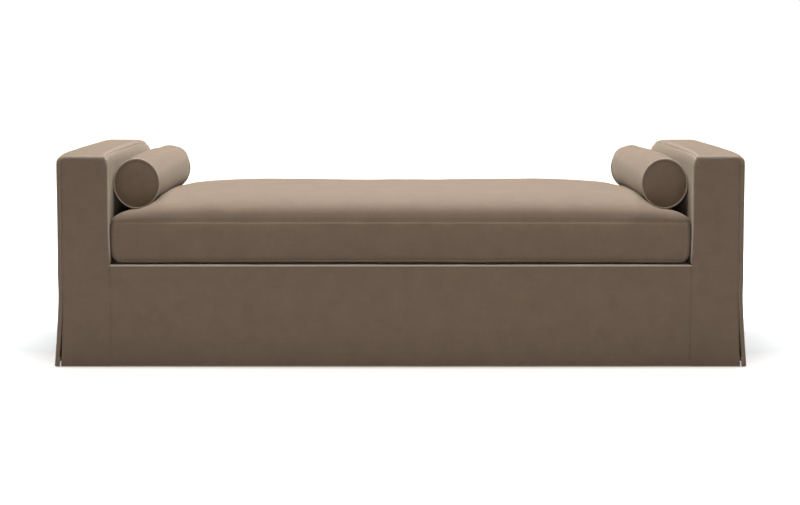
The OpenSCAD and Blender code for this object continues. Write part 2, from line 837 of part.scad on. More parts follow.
// The pull of the seat zip hangs down across the tape
module seat_zip_slider() {
    color("#8a7a5a") translate([slider_len - seat_zip_run / 2, seat_zip_y, seat_zip_z])
        rotate([-90, 0, 0]) rotate([0, 0, 90]) slider(pull_len)
            block(-pull_w / 4, pull_len, -pull_w / 2, pull_w / 2, slider_top, slider_top + slider_wall);
}

module arc_band(r0, r1, half_w) {
    difference() {
        intersection() {
            circle(r = r1);
            translate([-half_w, 0]) square([2 * half_w, r1 + over]);
        }
        circle(r = r0);
    }
}

module at_bolster() {
    translate([bolster_x, bolster_y, bolster_z]) children();
}

module bolster_zip() {
    color("#4b4038") at_bolster() rotate([0, bolster_zip_angle, 0]) {
        along_y(bolster_zip_len) arc_band(bolster_r, bolster_r + zip_t, zip_w / 2);
        along_y(bolster_zip_len)
            arc_band(bolster_r + zip_t, bolster_r + zip_t + coil_h, coil_w / 2);
    }
}

module bolster_zip_slider() {
    color("#8a7a5a") at_bolster() rotate([0, bolster_zip_angle, 0])
        translate([0, slider_len - bolster_zip_len / 2, bolster_r]) slider(pull_len)
            block(-pull_w / 2, pull_w / 2, -pull_w / 4, pull_len, slider_top, slider_top + slider_wall);
}

// Bolsters, turned about their own axis

module bolster_turned() {
    at_bolster() rotate([-90, 0, 0]) rotate_extrude() children();
}

module bolster_cover() {
    color("#9c8a7a") bolster_turned() difference() {
        polygon([[core_r + rest_gap, -tube_half], [bolster_end_r, -tube_half],
            [bolster_r, taper_len - tube_half], [bolster_r, tube_half - taper_len],
            [bolster_end_r, tube_half], [core_r + rest_gap, tube_half]]);
        welt_profile();
    }
}

module welt_profile() {
    for (end = [-1, 1]) translate([welt_ring_r, end * tube_half]) circle(d = welt_d);
}

module bolster_welts() {
    color("#a8968a") bolster_turned() welt_profile();
}

function dome_profile(r, lift) = [for (i = [0 : len(dome_r_shares) - 1])
    [r * dome_r_shares[i], tube_half + lift + dome_h * dome_h_shares[i]]];

module bolster_ends() {
    color("#5d5044") for (end = [0, 1]) bolster_turned() mirror([0, end]) difference() {
        polygon(concat(dome_profile(welt_ring_r, cover_t), backwards(dome_profile(welt_ring_r, 0))));
        welt_profile();
    }
}

module bolster_core() {
    half = dome_profile(core_r, -rest_gap);
    color("khaki") bolster_turned() difference() {
        polygon(concat(half, [for (p = backwards(half)) [p[0], -p[1]]]));
        welt_profile();
    }
}

module left() {
    mirror([1, 0, 0]) children();
}

module rear() {
    mirror([0, 1, 0]) children();
}

rear() long_rail();  // front_rail
long_rail();  // rear_rail
left() end_rail();  // left_end_rail
end_rail();  // right_end_rail
cross_rails();
corner_blocks();
frame_screws();
arm_posts();
arm_end_boards();
arm_top_boards();
arm_tack_rails();
arm_inner_skins();
arm_outer_skins();
left() color("ivory") arm_padding();  // left_arm_padding
color("ivory") arm_padding();  // right_arm_padding
feet();
foot_glides();
foot_bolts();
centre_leg();
centre_leg_insert();
centre_leg_leveller();
sinuous_springs();
spring_clips();
spring_tie_wires();
spring_insulator();
deck_pad();
deck_cover();
dust_cover();
skirt_panel();  // front_skirt_panel
rear() skirt_panel();  // rear_skirt_panel
left() color("#766556") arm_end_cover();  // left_arm_front_cover
color("#766556") arm_end_cover();  // right_arm_front_cover
left() rear() color("#766556") arm_end_cover();  // left_arm_rear_cover
rear() color("#766556") arm_end_cover();  // right_arm_rear_cover
left() color("#bfae9f") arm_top_cover();  // left_arm_top_cover
color("#bfae9f") arm_top_cover();  // right_arm_top_cover
left() color("#9e8f7f") arm_inside_cover();  // left_arm_inside_cover
color("#9e8f7f") arm_inside_cover();  // right_arm_inside_cover
left() color("#766556") outside_cover();  // left_outside_cover
color("#766556") outside_cover();  // right_outside_cover
corner_pleats();
seat_core();
seat_wrap();
seat_cover_top();
seat_cover_band();
seat_cover_bottom();
seat_zip();
seat_zip_slider();
left() bolster_core();  // left_bolster_core
left() bolster_cover();  // left_bolster_cover
left() bolster_ends();  // left_bolster_ends
left() bolster_welts();  // left_bolster_welts
left() bolster_zip();  // left_bolster_zip
left() bolster_zip_slider();  // left_bolster_zip_slider
bolster_core();  // right_bolster_core
bolster_cover();  // right_bolster_cover
bolster_ends();  // right_bolster_ends
bolster_welts();  // right_bolster_welts
bolster_zip();  // right_bolster_zip
bolster_zip_slider();  // right_bolster_zip_slider
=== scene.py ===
# %% [markdown]
# The backless divan. The CAD model is the frame of this scene: it gives every size, and each
# soft piece is made again here, finer, in the place that its CAD solid holds.

# %% Load the frame
import json
import math

import bmesh
import bpy
import numpy as np
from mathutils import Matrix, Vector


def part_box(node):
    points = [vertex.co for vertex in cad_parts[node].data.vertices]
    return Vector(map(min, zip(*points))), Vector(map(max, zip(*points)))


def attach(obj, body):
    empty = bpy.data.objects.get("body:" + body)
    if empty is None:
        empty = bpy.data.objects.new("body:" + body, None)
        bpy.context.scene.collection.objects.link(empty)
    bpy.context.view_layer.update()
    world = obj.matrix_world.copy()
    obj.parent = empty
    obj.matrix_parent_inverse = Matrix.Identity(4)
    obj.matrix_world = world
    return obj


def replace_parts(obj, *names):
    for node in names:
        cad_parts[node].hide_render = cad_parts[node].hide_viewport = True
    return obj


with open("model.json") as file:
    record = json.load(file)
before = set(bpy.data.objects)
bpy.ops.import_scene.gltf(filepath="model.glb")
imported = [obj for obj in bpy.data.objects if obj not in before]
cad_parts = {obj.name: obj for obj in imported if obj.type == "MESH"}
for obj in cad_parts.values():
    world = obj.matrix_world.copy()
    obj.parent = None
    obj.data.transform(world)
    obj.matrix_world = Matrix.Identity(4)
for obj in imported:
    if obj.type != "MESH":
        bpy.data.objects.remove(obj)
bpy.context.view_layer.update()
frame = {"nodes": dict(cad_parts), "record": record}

# %% [markdown]
# The sizes come from the boxes of the CAD nodes, in metres, so the cloth follows the frame if
# the frame changes. Only the roundings, which a box can't tell, are written as numbers.

# %% Sizes
INNER_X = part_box("deck_cover")[1].x
HALF_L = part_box("right_arm_top_cover")[1].x
HALF_D = -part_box("front_skirt_panel")[0].y
ARM_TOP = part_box("right_arm_top_cover")[1].z
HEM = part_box("front_skirt_panel")[0].z - 0.004
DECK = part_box("deck_cover")[1].z
PLEAT_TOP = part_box("corner_pleats")[1].z
RAIL_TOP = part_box("front_rail")[1].z
EDGE_R = 0.010
FLARE_TOP = 0.230
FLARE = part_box("right_outside_cover")[1].x - HALF_L + 0.0015
SIDES = ((-1, "left"), (1, "right"))
print(f"inner x {INNER_X:.3f}, half length {HALF_L:.3f}, flare {FLARE:.3f}")

# %% [markdown]
# The camera stands where the photographer stood: well back with a long lens, a little above
# the arms and looking slightly down. Distance and lens together set how fast the far end of
# each arm shrinks, so they were fitted to the outlines before anything else was made.

# %% Camera
camera_data = bpy.data.cameras.new("camera")
camera_data.lens = 80.0
camera_data.sensor_width = 36.0
camera_data.shift_x = -0.00075
camera_data.clip_end = 60.0
camera = bpy.data.objects.new("camera", camera_data)
camera.location = (0.0, -5.8515, 0.9514)
camera.rotation_euler = (math.radians(83.629), 0.0, 0.0)
bpy.context.scene.collection.objects.link(camera)
bpy.context.scene.camera = camera
print("camera height", camera.location.z)

# %% [markdown]
# The world, each finish and each maker further on is a small tree of nodes. One helper builds
# them all: it adds the nodes by name, sets what is fixed on their inputs, and joins them.

# %% Node helper


def wired(tree, nodes, links, **made):
    """Add nodes, given as name: kind or name: (kind, values of inputs, settings), and join them. A link
    names a node, its output, the next node and its input."""
    for name, spec in nodes.items():
        kind, values, settings = (spec, {}, {}) if isinstance(spec, str) else (*spec, {})[:3]
        made[name] = tree.nodes.new(kind)
        for key, value in settings.items():
            setattr(made[name], key, value)
        for socket, value in values.items():
            made[name].inputs[socket].default_value = value
    for source, output, target, socket in links:
        tree.links.new(made[source].outputs[output], made[target].inputs[socket])
    return made


def math_node(operation, values=None, **settings):
    return "ShaderNodeMath", values or {}, {"operation": operation, **settings}


print("node helper ready")

# %% [markdown]
# Three wide lamps light the divan as a studio does. The strongest hangs overhead and is slightly
# cool, because the arm tops and the crown are the brightest parts. A weak one behind keeps the
# rear from going black, and a slightly warm one behind the camera keeps the fronts even. A dim
# warm world fills the rest; to the camera it shows as white at a strength of 1.

# %% Light
scene = bpy.context.scene
scene.view_settings.view_transform = "Standard"


def studio_world(strength, colour):
    world = bpy.data.worlds.new("studio")
    world.use_nodes = True
    world.node_tree.nodes.clear()
    wired(world.node_tree, {
        "out": "ShaderNodeOutputWorld",
        "path": "ShaderNodeLightPath",
        "seen": math_node("MAXIMUM"),
        "mix": "ShaderNodeMixShader",
        "fill": ("ShaderNodeBackground", {"Color": (*colour, 1), "Strength": strength}),
        "white": ("ShaderNodeBackground", {"Color": (1, 1, 1, 1), "Strength": 1.0}),
    }, [("path", "Is Camera Ray", "seen", 0), ("path", "Is Transmission Ray", "seen", 1),
        ("seen", 0, "mix", 0), ("fill", 0, "mix", 1), ("white", 0, "mix", 2), ("mix", 0, "out", "Surface")])
    scene.world = world


def softbox(name, place, turn, size, power, colour=(1, 1, 1)):
    data = bpy.data.lights.new(name, "AREA")
    data.shape = "RECTANGLE"
    data.color = colour
    data.size, data.size_y = size
    data.energy = power
    lamp = bpy.data.objects.new(name, data)
    lamp.location = place
    lamp.rotation_euler = [math.radians(a) for a in turn]
    scene.collection.objects.link(lamp)


studio_world(0.06, (1.0, 0.90, 0.76))
softbox("overhead", (0.0, 0.95, 4.6), (0, 0, 0), (4.8, 4.4), 606.0, (0.97, 1.015, 1.05))
softbox("rear", (0.0, 4.5, 1.8), (-90, 0, 0), (8.0, 2.4), 15.0)
softbox("front", (0.0, -7.0, 0.9), (89, 0, 0), (7.0, 1.6), 95.0, (1.0, 0.965, 0.92))

# %% [markdown]
# The floor is a plain pale sheet that runs out of sight. It takes the divan's shadow, and a part
# of its white, slightly warm, is its own and only for the camera. That part grows with the
# distance from the divan, and faster to the front than to the ends, so that the floor melts into
# the background and the soft shadow beside the arms stays.

# %% Floor
FLOOR_HALF = 30


def floor_material(near, far):
    mat = bpy.data.materials.new("floor_white")
    mat.use_nodes = True
    mat.node_tree.nodes.clear()
    wired(mat.node_tree, {
        "out": "ShaderNodeOutputMaterial",
        "path": "ShaderNodeLightPath",
        "shade": ("ShaderNodeMapRange", {"To Min": 0.55, "To Max": 0.62}),
        "paint": "ShaderNodeBsdfDiffuse",
        "place": "ShaderNodeTexCoord",
        "squeeze": ("ShaderNodeMapping", {"Scale": (0.8, 3.0, 1.0)}),
        "reach": ("ShaderNodeVectorMath", {}, {"operation": "LENGTH"}),
        "spread": ("ShaderNodeMapRange", {"From Min": 1.1, "From Max": 2.88, "To Min": near, "To Max": far}),
        "seen": math_node("MAXIMUM"),
        "level": math_node("MULTIPLY"),
        "own": ("ShaderNodeEmission", {"Color": (1.0, 0.92, 0.84, 1)}),
        "add": "ShaderNodeAddShader",
    }, [("path", "Is Camera Ray", "shade", "Value"), ("shade", 0, "paint", "Color"),
        ("place", "Object", "squeeze", "Vector"), ("squeeze", 0, "reach", 0),
        ("reach", "Value", "spread", "Value"), ("path", "Is Camera Ray", "seen", 0),
        ("path", "Is Glossy Ray", "seen", 1), ("seen", 0, "level", 0), ("spread", 0, "level", 1),
        ("level", 0, "own", "Strength"),
        ("paint", 0, "add", 0), ("own", 0, "add", 1), ("add", 0, "out", "Surface")])
    return mat


floor_data = bpy.data.meshes.new("floor")
corners = [(x * FLOOR_HALF, y * FLOOR_HALF, 0) for x, y in ((-1, -1), (1, -1), (1, 1), (-1, 1))]
floor_data.from_pydata(corners, [], [(0, 1, 2, 3)])
floor_data.materials.append(floor_material(0.175, 1.25))
floor = bpy.data.objects.new("floor", floor_data)
scene.collection.objects.link(floor)
print("floor ready")

# %% [markdown]
# Every finish is a Principled shader with its pattern on Object coordinates, so it keeps its
# size on every piece and needs no unwrapping. One helper makes the common part: a base colour
# that wanders between two shades, a roughness and a bump. Finishes then differ in their values.

# %% Finish helper


def finish(name, light, dark, blotch, roughness, grain, grain_size, stretch=(1, 1, 1), **shader):
    mat = bpy.data.materials.new(name)
    mat.use_nodes = True
    bsdf = mat.node_tree.nodes["Principled BSDF"]
    made = wired(mat.node_tree, {
        "place": "ShaderNodeTexCoord",
        "scale": ("ShaderNodeMapping", {"Scale": stretch}),
        "wander": ("ShaderNodeTexNoise", {"Scale": blotch, "Detail": 6.0, "Roughness": 0.6}),
        "ramp": "ShaderNodeValToRGB",
        "nap": ("ShaderNodeTexNoise", {"Scale": grain_size, "Detail": 3.0}),
        "bump": ("ShaderNodeBump", {"Strength": grain, "Distance": 0.001}),
    }, [("place", "Object", "scale", "Vector"), ("scale", 0, "wander", "Vector"),
        ("wander", "Fac", "ramp", "Fac"), ("ramp", "Color", "bsdf", "Base Color"),
        ("scale", 0, "nap", "Vector"), ("nap", "Fac", "bump", "Height"), ("bump", 0, "bsdf", "Normal")],
        bsdf=bsdf)
    for stop, position, colour in zip(made["ramp"].color_ramp.elements, (0.3, 0.7), (dark, light)):
        stop.position = position
        stop.color = (*colour, 1)
    bsdf.inputs["Roughness"].default_value = roughness
    for socket, value in shader.items():
        bsdf.inputs[socket.replace("_", " ").title().replace("Ior", "IOR")].default_value = value
    return mat


# %% [markdown]
# Velvet is dark where it is seen straight on and light where it is seen along the pile, because
# the light catches the sides of the hairs. Sheen does that. Where the cloth turns round an edge the
# base colour is mixed towards a pale colour, a painted highlight for the bright rims; the meshes
# carry its weight in an attribute named fold. The pile also lies a little differently from place
# to place, in short faint strokes and in soft clouds.

# %% Velvet
# PAINTED_HIGHLIGHT is a painted highlight: the pale colour of lit velvet rims, mixed into the base colour
# where the fold attribute is high.
PAINTED_HIGHLIGHT = (0.43, 0.355, 0.285)
STROKE = 0.13


def velvet_finish(name, light, dark):
    mat = finish(name, light, dark, 16.0, 0.9, 0.22, 2400.0, sheen_weight=0.22, sheen_roughness=0.4,
                 sheen_tint=(1.0, 0.88, 0.68, 1), specular_ior_level=0.35)
    tree = mat.node_tree
    given = {"bsdf": "Principled BSDF", "clouds": "Color Ramp", "place": "Texture Coordinate"}
    # The fold attribute weighs a painted highlight: the base colour is mixed towards the pale highlight
    # colour on bent cloth.
    nodes = {
        "fold": ("ShaderNodeAttribute", {}, {"attribute_name": "fold"}),
        "highlight_share": math_node("MULTIPLY", {1: 0.45}, use_clamp=True),
        "tint": ("ShaderNodeVectorMath", {}, {"operation": "SCALE"}),
        "pile": ("ShaderNodeMix", {7: (*PAINTED_HIGHLIGHT, 1)}, {"data_type": "RGBA"}),
        "up": math_node("MULTIPLY_ADD", {1: STROKE, 2: 1 - STROKE}),
        "across": math_node("MULTIPLY_ADD", {1: STROKE}),
    }
    links = [("fold", "Fac", "highlight_share", 0), ("highlight_share", 0, "pile", 0), ("clouds", "Color", "tint", 0),
             ("up", 0, "across", 2), ("across", 0, "tint", "Scale"), ("tint", 0, "pile", 6),
             ("pile", 2, "bsdf", "Base Color")]
    for way, stretch in (("up", (30, 30, 190)), ("across", (190, 190, 30))):
        nodes["scale " + way] = ("ShaderNodeMapping", {"Scale": stretch})
        nodes["noise " + way] = ("ShaderNodeTexNoise", {"Scale": 1.0, "Detail": 2.0})
        links += [("place", "Object", "scale " + way, "Vector"),
                  ("scale " + way, 0, "noise " + way, "Vector"), ("noise " + way, "Fac", way, 0)]
    wired(tree, nodes, links, **{key: tree.nodes[name] for key, name in given.items()})
    return mat


velvet = velvet_finish("taupe_velvet", (0.204, 0.142, 0.099), (0.183, 0.127, 0.088))
# A second, paler velvet: a lit copy of the velvet, so a painted highlight on the welts and the zip stitches.
velvet_painted_highlight = velvet_finish("taupe_velvet_painted_highlight", PAINTED_HIGHLIGHT, (0.38, 0.31, 0.25))
print("velvet ready")

# %% [markdown]
# The hidden pieces get their own finishes too: planed timber, board, wire, foam and fibre. They
# show when the divan is seen from below or taken apart. A row holds the light and the dark
# shade, the size of the blotches, the roughness, the depth and the size of the grain, and the
# stretch of the grain.

# %% Other finishes
rows = {
    "hardwood": ((0.55, 0.36, 0.19), (0.42, 0.26, 0.13), 9.0, 0.6, 0.3, 120.0, (1, 6, 6)),
    "plywood": ((0.62, 0.46, 0.27), (0.52, 0.36, 0.20), 12.0, 0.65, 0.2, 160.0, (1, 1, 9)),
    "fibreboard": ((0.20, 0.12, 0.06), (0.15, 0.09, 0.05), 60.0, 0.7, 0.1, 600.0),
    "stained_wood": ((0.075, 0.036, 0.018), (0.035, 0.017, 0.009), 14.0, 0.35, 0.25, 220.0, (5, 5, 1)),
    "black_plastic": ((0.03, 0.03, 0.03), (0.02, 0.02, 0.02), 90.0, 0.5, 0.1, 900.0),
    "zinc_steel": ((0.62, 0.62, 0.60), (0.48, 0.48, 0.47), 70.0, 0.35, 0.05, 500.0),
    "spring_steel": ((0.16, 0.16, 0.17), (0.09, 0.09, 0.10), 60.0, 0.4, 0.05, 500.0),
    "felt": ((0.16, 0.15, 0.14), (0.11, 0.10, 0.10), 300.0, 0.95, 0.8, 700.0),
    "fibre_pad": ((0.80, 0.79, 0.75), (0.68, 0.67, 0.63), 120.0, 0.95, 1.0, 350.0),
    "foam": ((0.78, 0.70, 0.44), (0.68, 0.60, 0.36), 30.0, 0.9, 0.6, 900.0),
    "dust_cloth": ((0.022, 0.022, 0.022), (0.014, 0.014, 0.014), 200.0, 0.9, 0.5, 1200.0),
    "zip_tape": ((0.060, 0.045, 0.034), (0.045, 0.034, 0.026), 80.0, 0.85, 0.6, 1500.0, (1, 4, 4)),
    "zip_metal": ((0.42, 0.32, 0.16), (0.30, 0.22, 0.11), 120.0, 0.35, 0.05, 900.0),
}
METALS = ("zinc_steel", "spring_steel", "zip_metal")
finishes = {name: finish(name, *row, metallic=float(name in METALS)) for name, row in rows.items()}
finishes["taupe_velvet"] = velvet
for part in frame["record"]["subparts"]:
    data = frame["nodes"][part["node"]].data
    data.materials.clear()
    data.materials.append(finishes[part["material_slot"]])
print(len(finishes), "finishes on", len(frame["nodes"]), "nodes")

# %% [markdown]
# Cloth over a frame is a sheet with known edges, so most pieces here are grids of points: rows
# along the piece and columns across it. The grid is close near its edges, where a seam pulls
# the cloth in, and wide in the middle. These helpers space a grid, join it into faces and turn
# it into an object.

# %% Grid helpers


def fade(value, full, none):
    """1 up to full, 0 from none on, smooth between."""
    t = np.clip((none - value) / (none - full), 0, 1)
    return t * t * (3 - 2 * t)


def cloth_steps(length, step=0.012, first=0.0008):
    """Distances from 0 to length, close together at both ends."""
    ramp = [0.0]
    gap = first
    while gap < step and ramp[-1] + gap < length / 2.2:
        ramp.append(ramp[-1] + gap)
        gap *= 1.45
    middle = length - 2 * ramp[-1]
    count = max(1, round(middle / step))
    inner = [ramp[-1] + middle * i / count for i in range(1, count)]
    return np.array(ramp + inner + [length - r for r in reversed(ramp)])


def points_at(x, y, z):
    """An array of points; each coordinate may be an array or one number."""
    return np.stack(np.broadcast_arrays(x, y, z), axis=-1)


def bell(value, width):
    """1 at 0, and falling away on both sides within about the width."""
    return np.exp(-(value / width) ** 2)


def along(points, distances):
    """Points at the given distances along a polyline, scaled to its length."""
    points = np.asarray(points, float)
    run = np.concatenate([[0], np.cumsum(np.linalg.norm(np.diff(points, axis=0), axis=1))])
    at = np.asarray(distances) / distances[-1] * run[-1]
    return np.stack([np.interp(at, run, points[:, k]) for k in range(points.shape[1])], axis=1)


def grid_faces(rows, cols, ring=False):
    i = np.arange(rows - 1)[:, None] * cols
    j = np.arange(cols if ring else cols - 1)[None, :]
    k = (j + 1) % cols
    return np.stack([i + j, i + k, i + cols + k, i + cols + j], axis=-1).reshape(-1, 4)


def placed(name, data, body):
    piece = bpy.data.objects.new(name, data)
    scene.collection.objects.link(piece)
    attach(piece, body)
    return piece


def new_piece(name, points, faces, body="divan", slot_name="taupe_velvet"):
    data = bpy.data.meshes.new(name)
    data.from_pydata([tuple(p) for p in np.asarray(points).reshape(-1, 3)], [], [tuple(f) for f in faces])
    data.update()
    data.shade_smooth()
    data.materials.append(finishes[slot_name])
    return placed(name, data, body)


def grid_normals(grid, ring=False):
    """Unit normals of a grid, whose rows may be closed rings."""
    if ring:
        wrapped = np.concatenate([grid[:, -1:], grid, grid[:, :1]], axis=1)
        return grid_normals(wrapped)[:, 1:-1]
    n = np.cross(np.gradient(grid, axis=0), np.gradient(grid, axis=1))
    return n / np.maximum(np.linalg.norm(n, axis=-1, keepdims=True), 1e-12)


def paint_edge_highlight(piece, grid, extra=0, highlight_gain=1.0, ring=False, also=0.0):
    """Write how tightly the grid bends at each point, as the weight of a painted highlight; extra points at
    the end of the mesh get 0.
    """
    if ring:
        grid = np.concatenate([grid[:, -1:], grid, grid[:, :1]], axis=1)
    n = grid_normals(grid)
    bend = np.zeros(grid.shape[:2])
    for axis in (0, 1):
        step, turn = (np.gradient(field, axis=axis) for field in (grid, n))
        here = np.abs(np.sum(turn * step, axis=-1)) / np.maximum(np.sum(step * step, axis=-1), 1e-10)
        bend = np.maximum(bend, here)
    if ring:
        bend = bend[:, 1:-1]
    # fold is the weight of the painted highlight on bent cloth.
    fold = (highlight_gain * np.clip(bend * 0.010 - 0.15, 0, 1) + also).ravel()
    layer = piece.data.attributes.new("fold", "FLOAT", "POINT")
    layer.data.foreach_set("value", np.concatenate([fold, np.zeros(extra)]).astype(np.float32))


def thicken(piece, thickness):
    shell = piece.modifiers.new("thickness", "SOLIDIFY")
    shell.thickness = thickness
    shell.offset = -1.0
    shell.use_even_offset = False


print("steps over 0.1 m:", len(cloth_steps(0.1)))

# %% [markdown]
# Nothing made of cloth is quite flat. A lattice noise gives slow swells of about a millimetre,
# and a seam does two things: it draws the cloth in over the last few millimetres, and it
# gathers it into short ridges across the seam that die away.

# %% Softness helpers
LATTICE = np.random.default_rng(11).uniform(-1, 1, (32, 32, 32))


def swell(points, size, seed=0):
    q = np.asarray(points) / np.asarray(size) + 3.7 * seed + 50.0
    i = np.floor(q).astype(int)
    f = q - i
    f = f * f * (3 - 2 * f)
    out = np.zeros(q.shape[:-1])
    for corner in np.ndindex(2, 2, 2):
        w = np.ones(q.shape[:-1])
        for axis in range(3):
            w = w * (f[..., axis] if corner[axis] else 1 - f[..., axis])
        n = (i + np.array(corner)) % 32
        out += w * LATTICE[n[..., 0], n[..., 1], n[..., 2]]
    return out


def runs(grid):
    """Distance of each point from the first row and from the first column."""
    down = np.linalg.norm(np.diff(grid, axis=0), axis=2)
    across = np.linalg.norm(np.diff(grid, axis=1), axis=2)
    down = np.vstack([np.zeros((1, grid.shape[1])), np.cumsum(down, axis=0)])
    across = np.hstack([np.zeros((grid.shape[0], 1)), np.cumsum(across, axis=1)])
    return down, across


HEM_POINTS = 11
HEM_SHARE = 0.35


def hem_share(grid, axis):
    """How much of the cloth's moves is left near a hem. The turned-up layer faces inwards, so its
    share is negative and it moves with the layer before it."""
    above = 1 - fade(grid[..., 2], HEM + 0.030, HEM + 0.045)
    share = np.moveaxis(HEM_SHARE + (1 - HEM_SHARE) * above, axis, 0)
    share[:HEM_POINTS] = np.linspace(-HEM_SHARE, HEM_SHARE, HEM_POINTS)[:, None]
    return np.moveaxis(share, 0, axis)


def sewn(grid, seams, out, tuck=0.0022, width=0.0035, ridge=0.0006, reach=0.016, pitch=0.011,
         soft=0.0008, seed=0, faint="", hem=None):
    """The grid with its seams drawn in, its outer side and the plain grid. seams holds 'first', 'last'
    (rows), 'left', 'right' (columns). out is 1 where rows times columns points outwards, and else -1.
    A faint seam barely shows. hem is the axis that starts with a hem."""
    normals = grid_normals(grid) * out
    down, across = runs(grid)
    sides = {"first": (down, across), "last": (down[-1:] - down, across),
             "left": (across, down), "right": (across[:, -1:] - across, down)}
    move = soft * (swell(grid, 0.16, seed) + 0.4 * swell(grid, 0.05, seed + 1))
    for side in seams:
        away, beside = sides[side]
        line = points_at(beside, 0.0, 0.0)
        gathers = swell(line, pitch, seed + 5) + 0.6 * swell(line, pitch * 0.45, seed + 6)
        here = (0.5 + 0.5 * swell(line, 0.11, seed + 7)) * (0.2 if side == faint else 1.0)
        move = move - tuck * (0.15 if side == faint else 1.0) * bell(away, width)
        move = move + ridge * here * gathers * np.exp(-away / reach) * (1 - np.exp(-away / (0.6 * width)))
    if hem is not None:
        move = move * hem_share(grid, hem)
    return grid + normals * move[..., None], out, grid


print("noise at the origin:", round(float(swell(np.zeros(3), 0.1)), 3))

# %% [markdown]
# The hem is a real one: the cloth is folded up inside and sewn. The path of a panel therefore
# starts inside, comes down, turns round the fold and goes up the outside. Sheets that end at
# the floor all start with this path.

# %% Hem


def hem_path(turn_up=0.03, fold=0.0013):
    """Offsets (inwards from the outer face, height above the hem) from the inside up to the outer face."""
    arc = [(fold - fold * math.cos(a), fold - fold * math.sin(a)) for a in np.linspace(math.pi, 0, 9)]
    return [(2 * fold, turn_up), (2 * fold, turn_up / 2), *arc]


print("hem points", len(hem_path()))

# %% [markdown]
# An arm is a box with rounded edges. Its cover has five panels, and the top, inside and outside
# panels run round the front and rear edges to seams that lie a finger's breadth in from the
# outline. So each panel is swept along stations: round the front edge, along the arm, round the
# rear edge. At each station the section is drawn in by what the rounding takes.

# %% Stations and sections of an arm
turns = [0, 3, 6, 10, 16, 24, 34, 46, 60, 75, 90]
stations = [(math.radians(a), -1) for a in turns]
stations += [(y, 0) for y in np.linspace(-1, 1, 74)[1:-1]]
stations += [(math.radians(a), 1) for a in reversed(turns)]
WRAP_R = 0.015
INNER_DRAW = 0.65
OUTER_R = 0.024
OUTER_X = HALF_L + 0.002
STRAIGHT = HEM + 0.004
END_WIDTH = 0.138


def station(st, r):
    """Inset of the section and place along Y, for edges of radius r."""
    value, end = st
    if end == 0:
        return 0.0, value * (HALF_D - r)
    return r * (1 - math.sin(value)), end * (HALF_D - r * (1 - math.cos(value)))


def arc(cx, cz, r, start, stop, count=24):
    return [(cx + r * math.cos(math.radians(a)), cz + r * math.sin(math.radians(a)))
            for a in np.linspace(start, stop, count)]


def arm_top(y):
    """The padding crowns the top along its length; it returns to its height at the end seams."""
    return ARM_TOP + 0.010 * (1 - np.abs(y / HALF_D) ** 6)


def outer_turn(inset, y):
    return arc(OUTER_X - OUTER_R, arm_top(y) - OUTER_R, OUTER_R - inset, 0, 90)


def drawn(z):
    """The inner edge is rounded above the deck and square where the skirt meets it."""
    return INNER_DRAW * (1 - fade(z, DECK, DECK + 0.035))


def puff(y, z=ARM_TOP):
    """How far the padding swells inwards beside the front and rear edges, down to the deck."""
    edge = HALF_D - np.abs(y)
    corner = 0.0026 + 0.0034 * bell(z - DECK, 0.075)
    corner = corner * (1 - fade(z, DECK - 0.001, DECK + 0.008))
    return 0.0008 * bell(edge, 0.03) + corner * bell(edge, 0.011)


def inner_roll(y):
    """Width and height of the rolled inner top edge, which grows towards the rear."""
    t = (y + HALF_D) / (2 * HALF_D)
    return 0.015 + 0.026 * t, 0.030 + 0.048 * t


def inner_turn(inset, y, start, stop):
    wide, tall = inner_roll(y)
    turn = np.radians(np.linspace(start, stop, 30))
    x0, z0 = INNER_X - puff(y) + INNER_DRAW * inset + wide, arm_top(y) - inset - tall
    return [(x0 + wide * math.cos(a), z0 + tall * math.sin(a)) for a in turn]


def swept(section, distances, r=EDGE_R):
    """A grid with one row per station."""
    rows = []
    for st in stations:
        inset, y = station(st, r)
        line = along(section(inset, y), distances)
        rows.append(points_at(line[:, 0], y, line[:, 1]))
    return np.array(rows)


print(len(stations), "stations")

# %% [markdown]
# The flare: the outside panels hang free below the rail and stand out towards the hem, like
# the side of a tent. The front and rear panels of the arms follow by three fifths of it, and the
# slit that opens between the two is the kick pleat.

# %% Panels of the arms


def flare(z):
    return np.clip((FLARE_TOP - z) / (FLARE_TOP - HEM), 0, 1.05) ** 1.25


def belly(z):
    """The outside panels stand a little off the frame at half height."""
    return 0.0026 * bell(z - 0.30, 0.13)


def top_panel():
    def section(inset, y):
        return outer_turn(inset, y) + inner_turn(inset, y, 90, 122)
    steps = cloth_steps(0.162, 0.01)
    wrap = np.clip(1 - steps / 0.045, 0, 1)[None, :, None]
    grid = (1 - wrap) * swept(section, steps) + wrap * swept(section, steps, WRAP_R)
    return sewn(grid, ("first", "last", "left", "right"), 1, soft=0.0012, seed=21, ridge=0.0009,
                faint="left")


def inside_panel():
    def section(inset, y):
        levels = np.linspace(DECK + 0.13, DECK - 0.01, 36)
        low = [(INNER_X - puff(y, z) + inset * float(drawn(z)), z) for z in levels]
        low.append((INNER_X - puff(y, DECK - 0.01), RAIL_TOP + 0.012))
        return inner_turn(inset, y, 122, 180) + low
    grid = swept(section, cloth_steps(0.36, 0.014))
    return sewn(grid, ("first", "last", "left"), 1, soft=0.0008, seed=31)


def outside_panel():
    def section(inset, y):
        x = OUTER_X - inset
        hem = [(x - u, HEM + v) for u, v in hem_path()]
        return hem + [(x, z) for z in np.linspace(STRAIGHT, arm_top(y) - OUTER_R, 60)]
    z = np.concatenate([[0, 0.015], 0.03 + np.cumsum([0.0] + [0.0006] * 8), 0.04 + cloth_steps(0.61, 0.014)])
    grid = swept(section, z, WRAP_R)
    grid[..., 0] += FLARE * flare(grid[..., 2]) + belly(grid[..., 2])
    free = grid[..., 2] < PLEAT_TOP
    sway = 0.0016 * np.clip((PLEAT_TOP - grid[..., 2]) / PLEAT_TOP, 0, 1)
    grid[..., 0] += np.where(free, sway * swell(grid, (1, 0.17, 0.6), 3), 0)
    return sewn(grid, ("first", "last", "right"), 1, soft=0.001, seed=41, faint="right", hem=1)


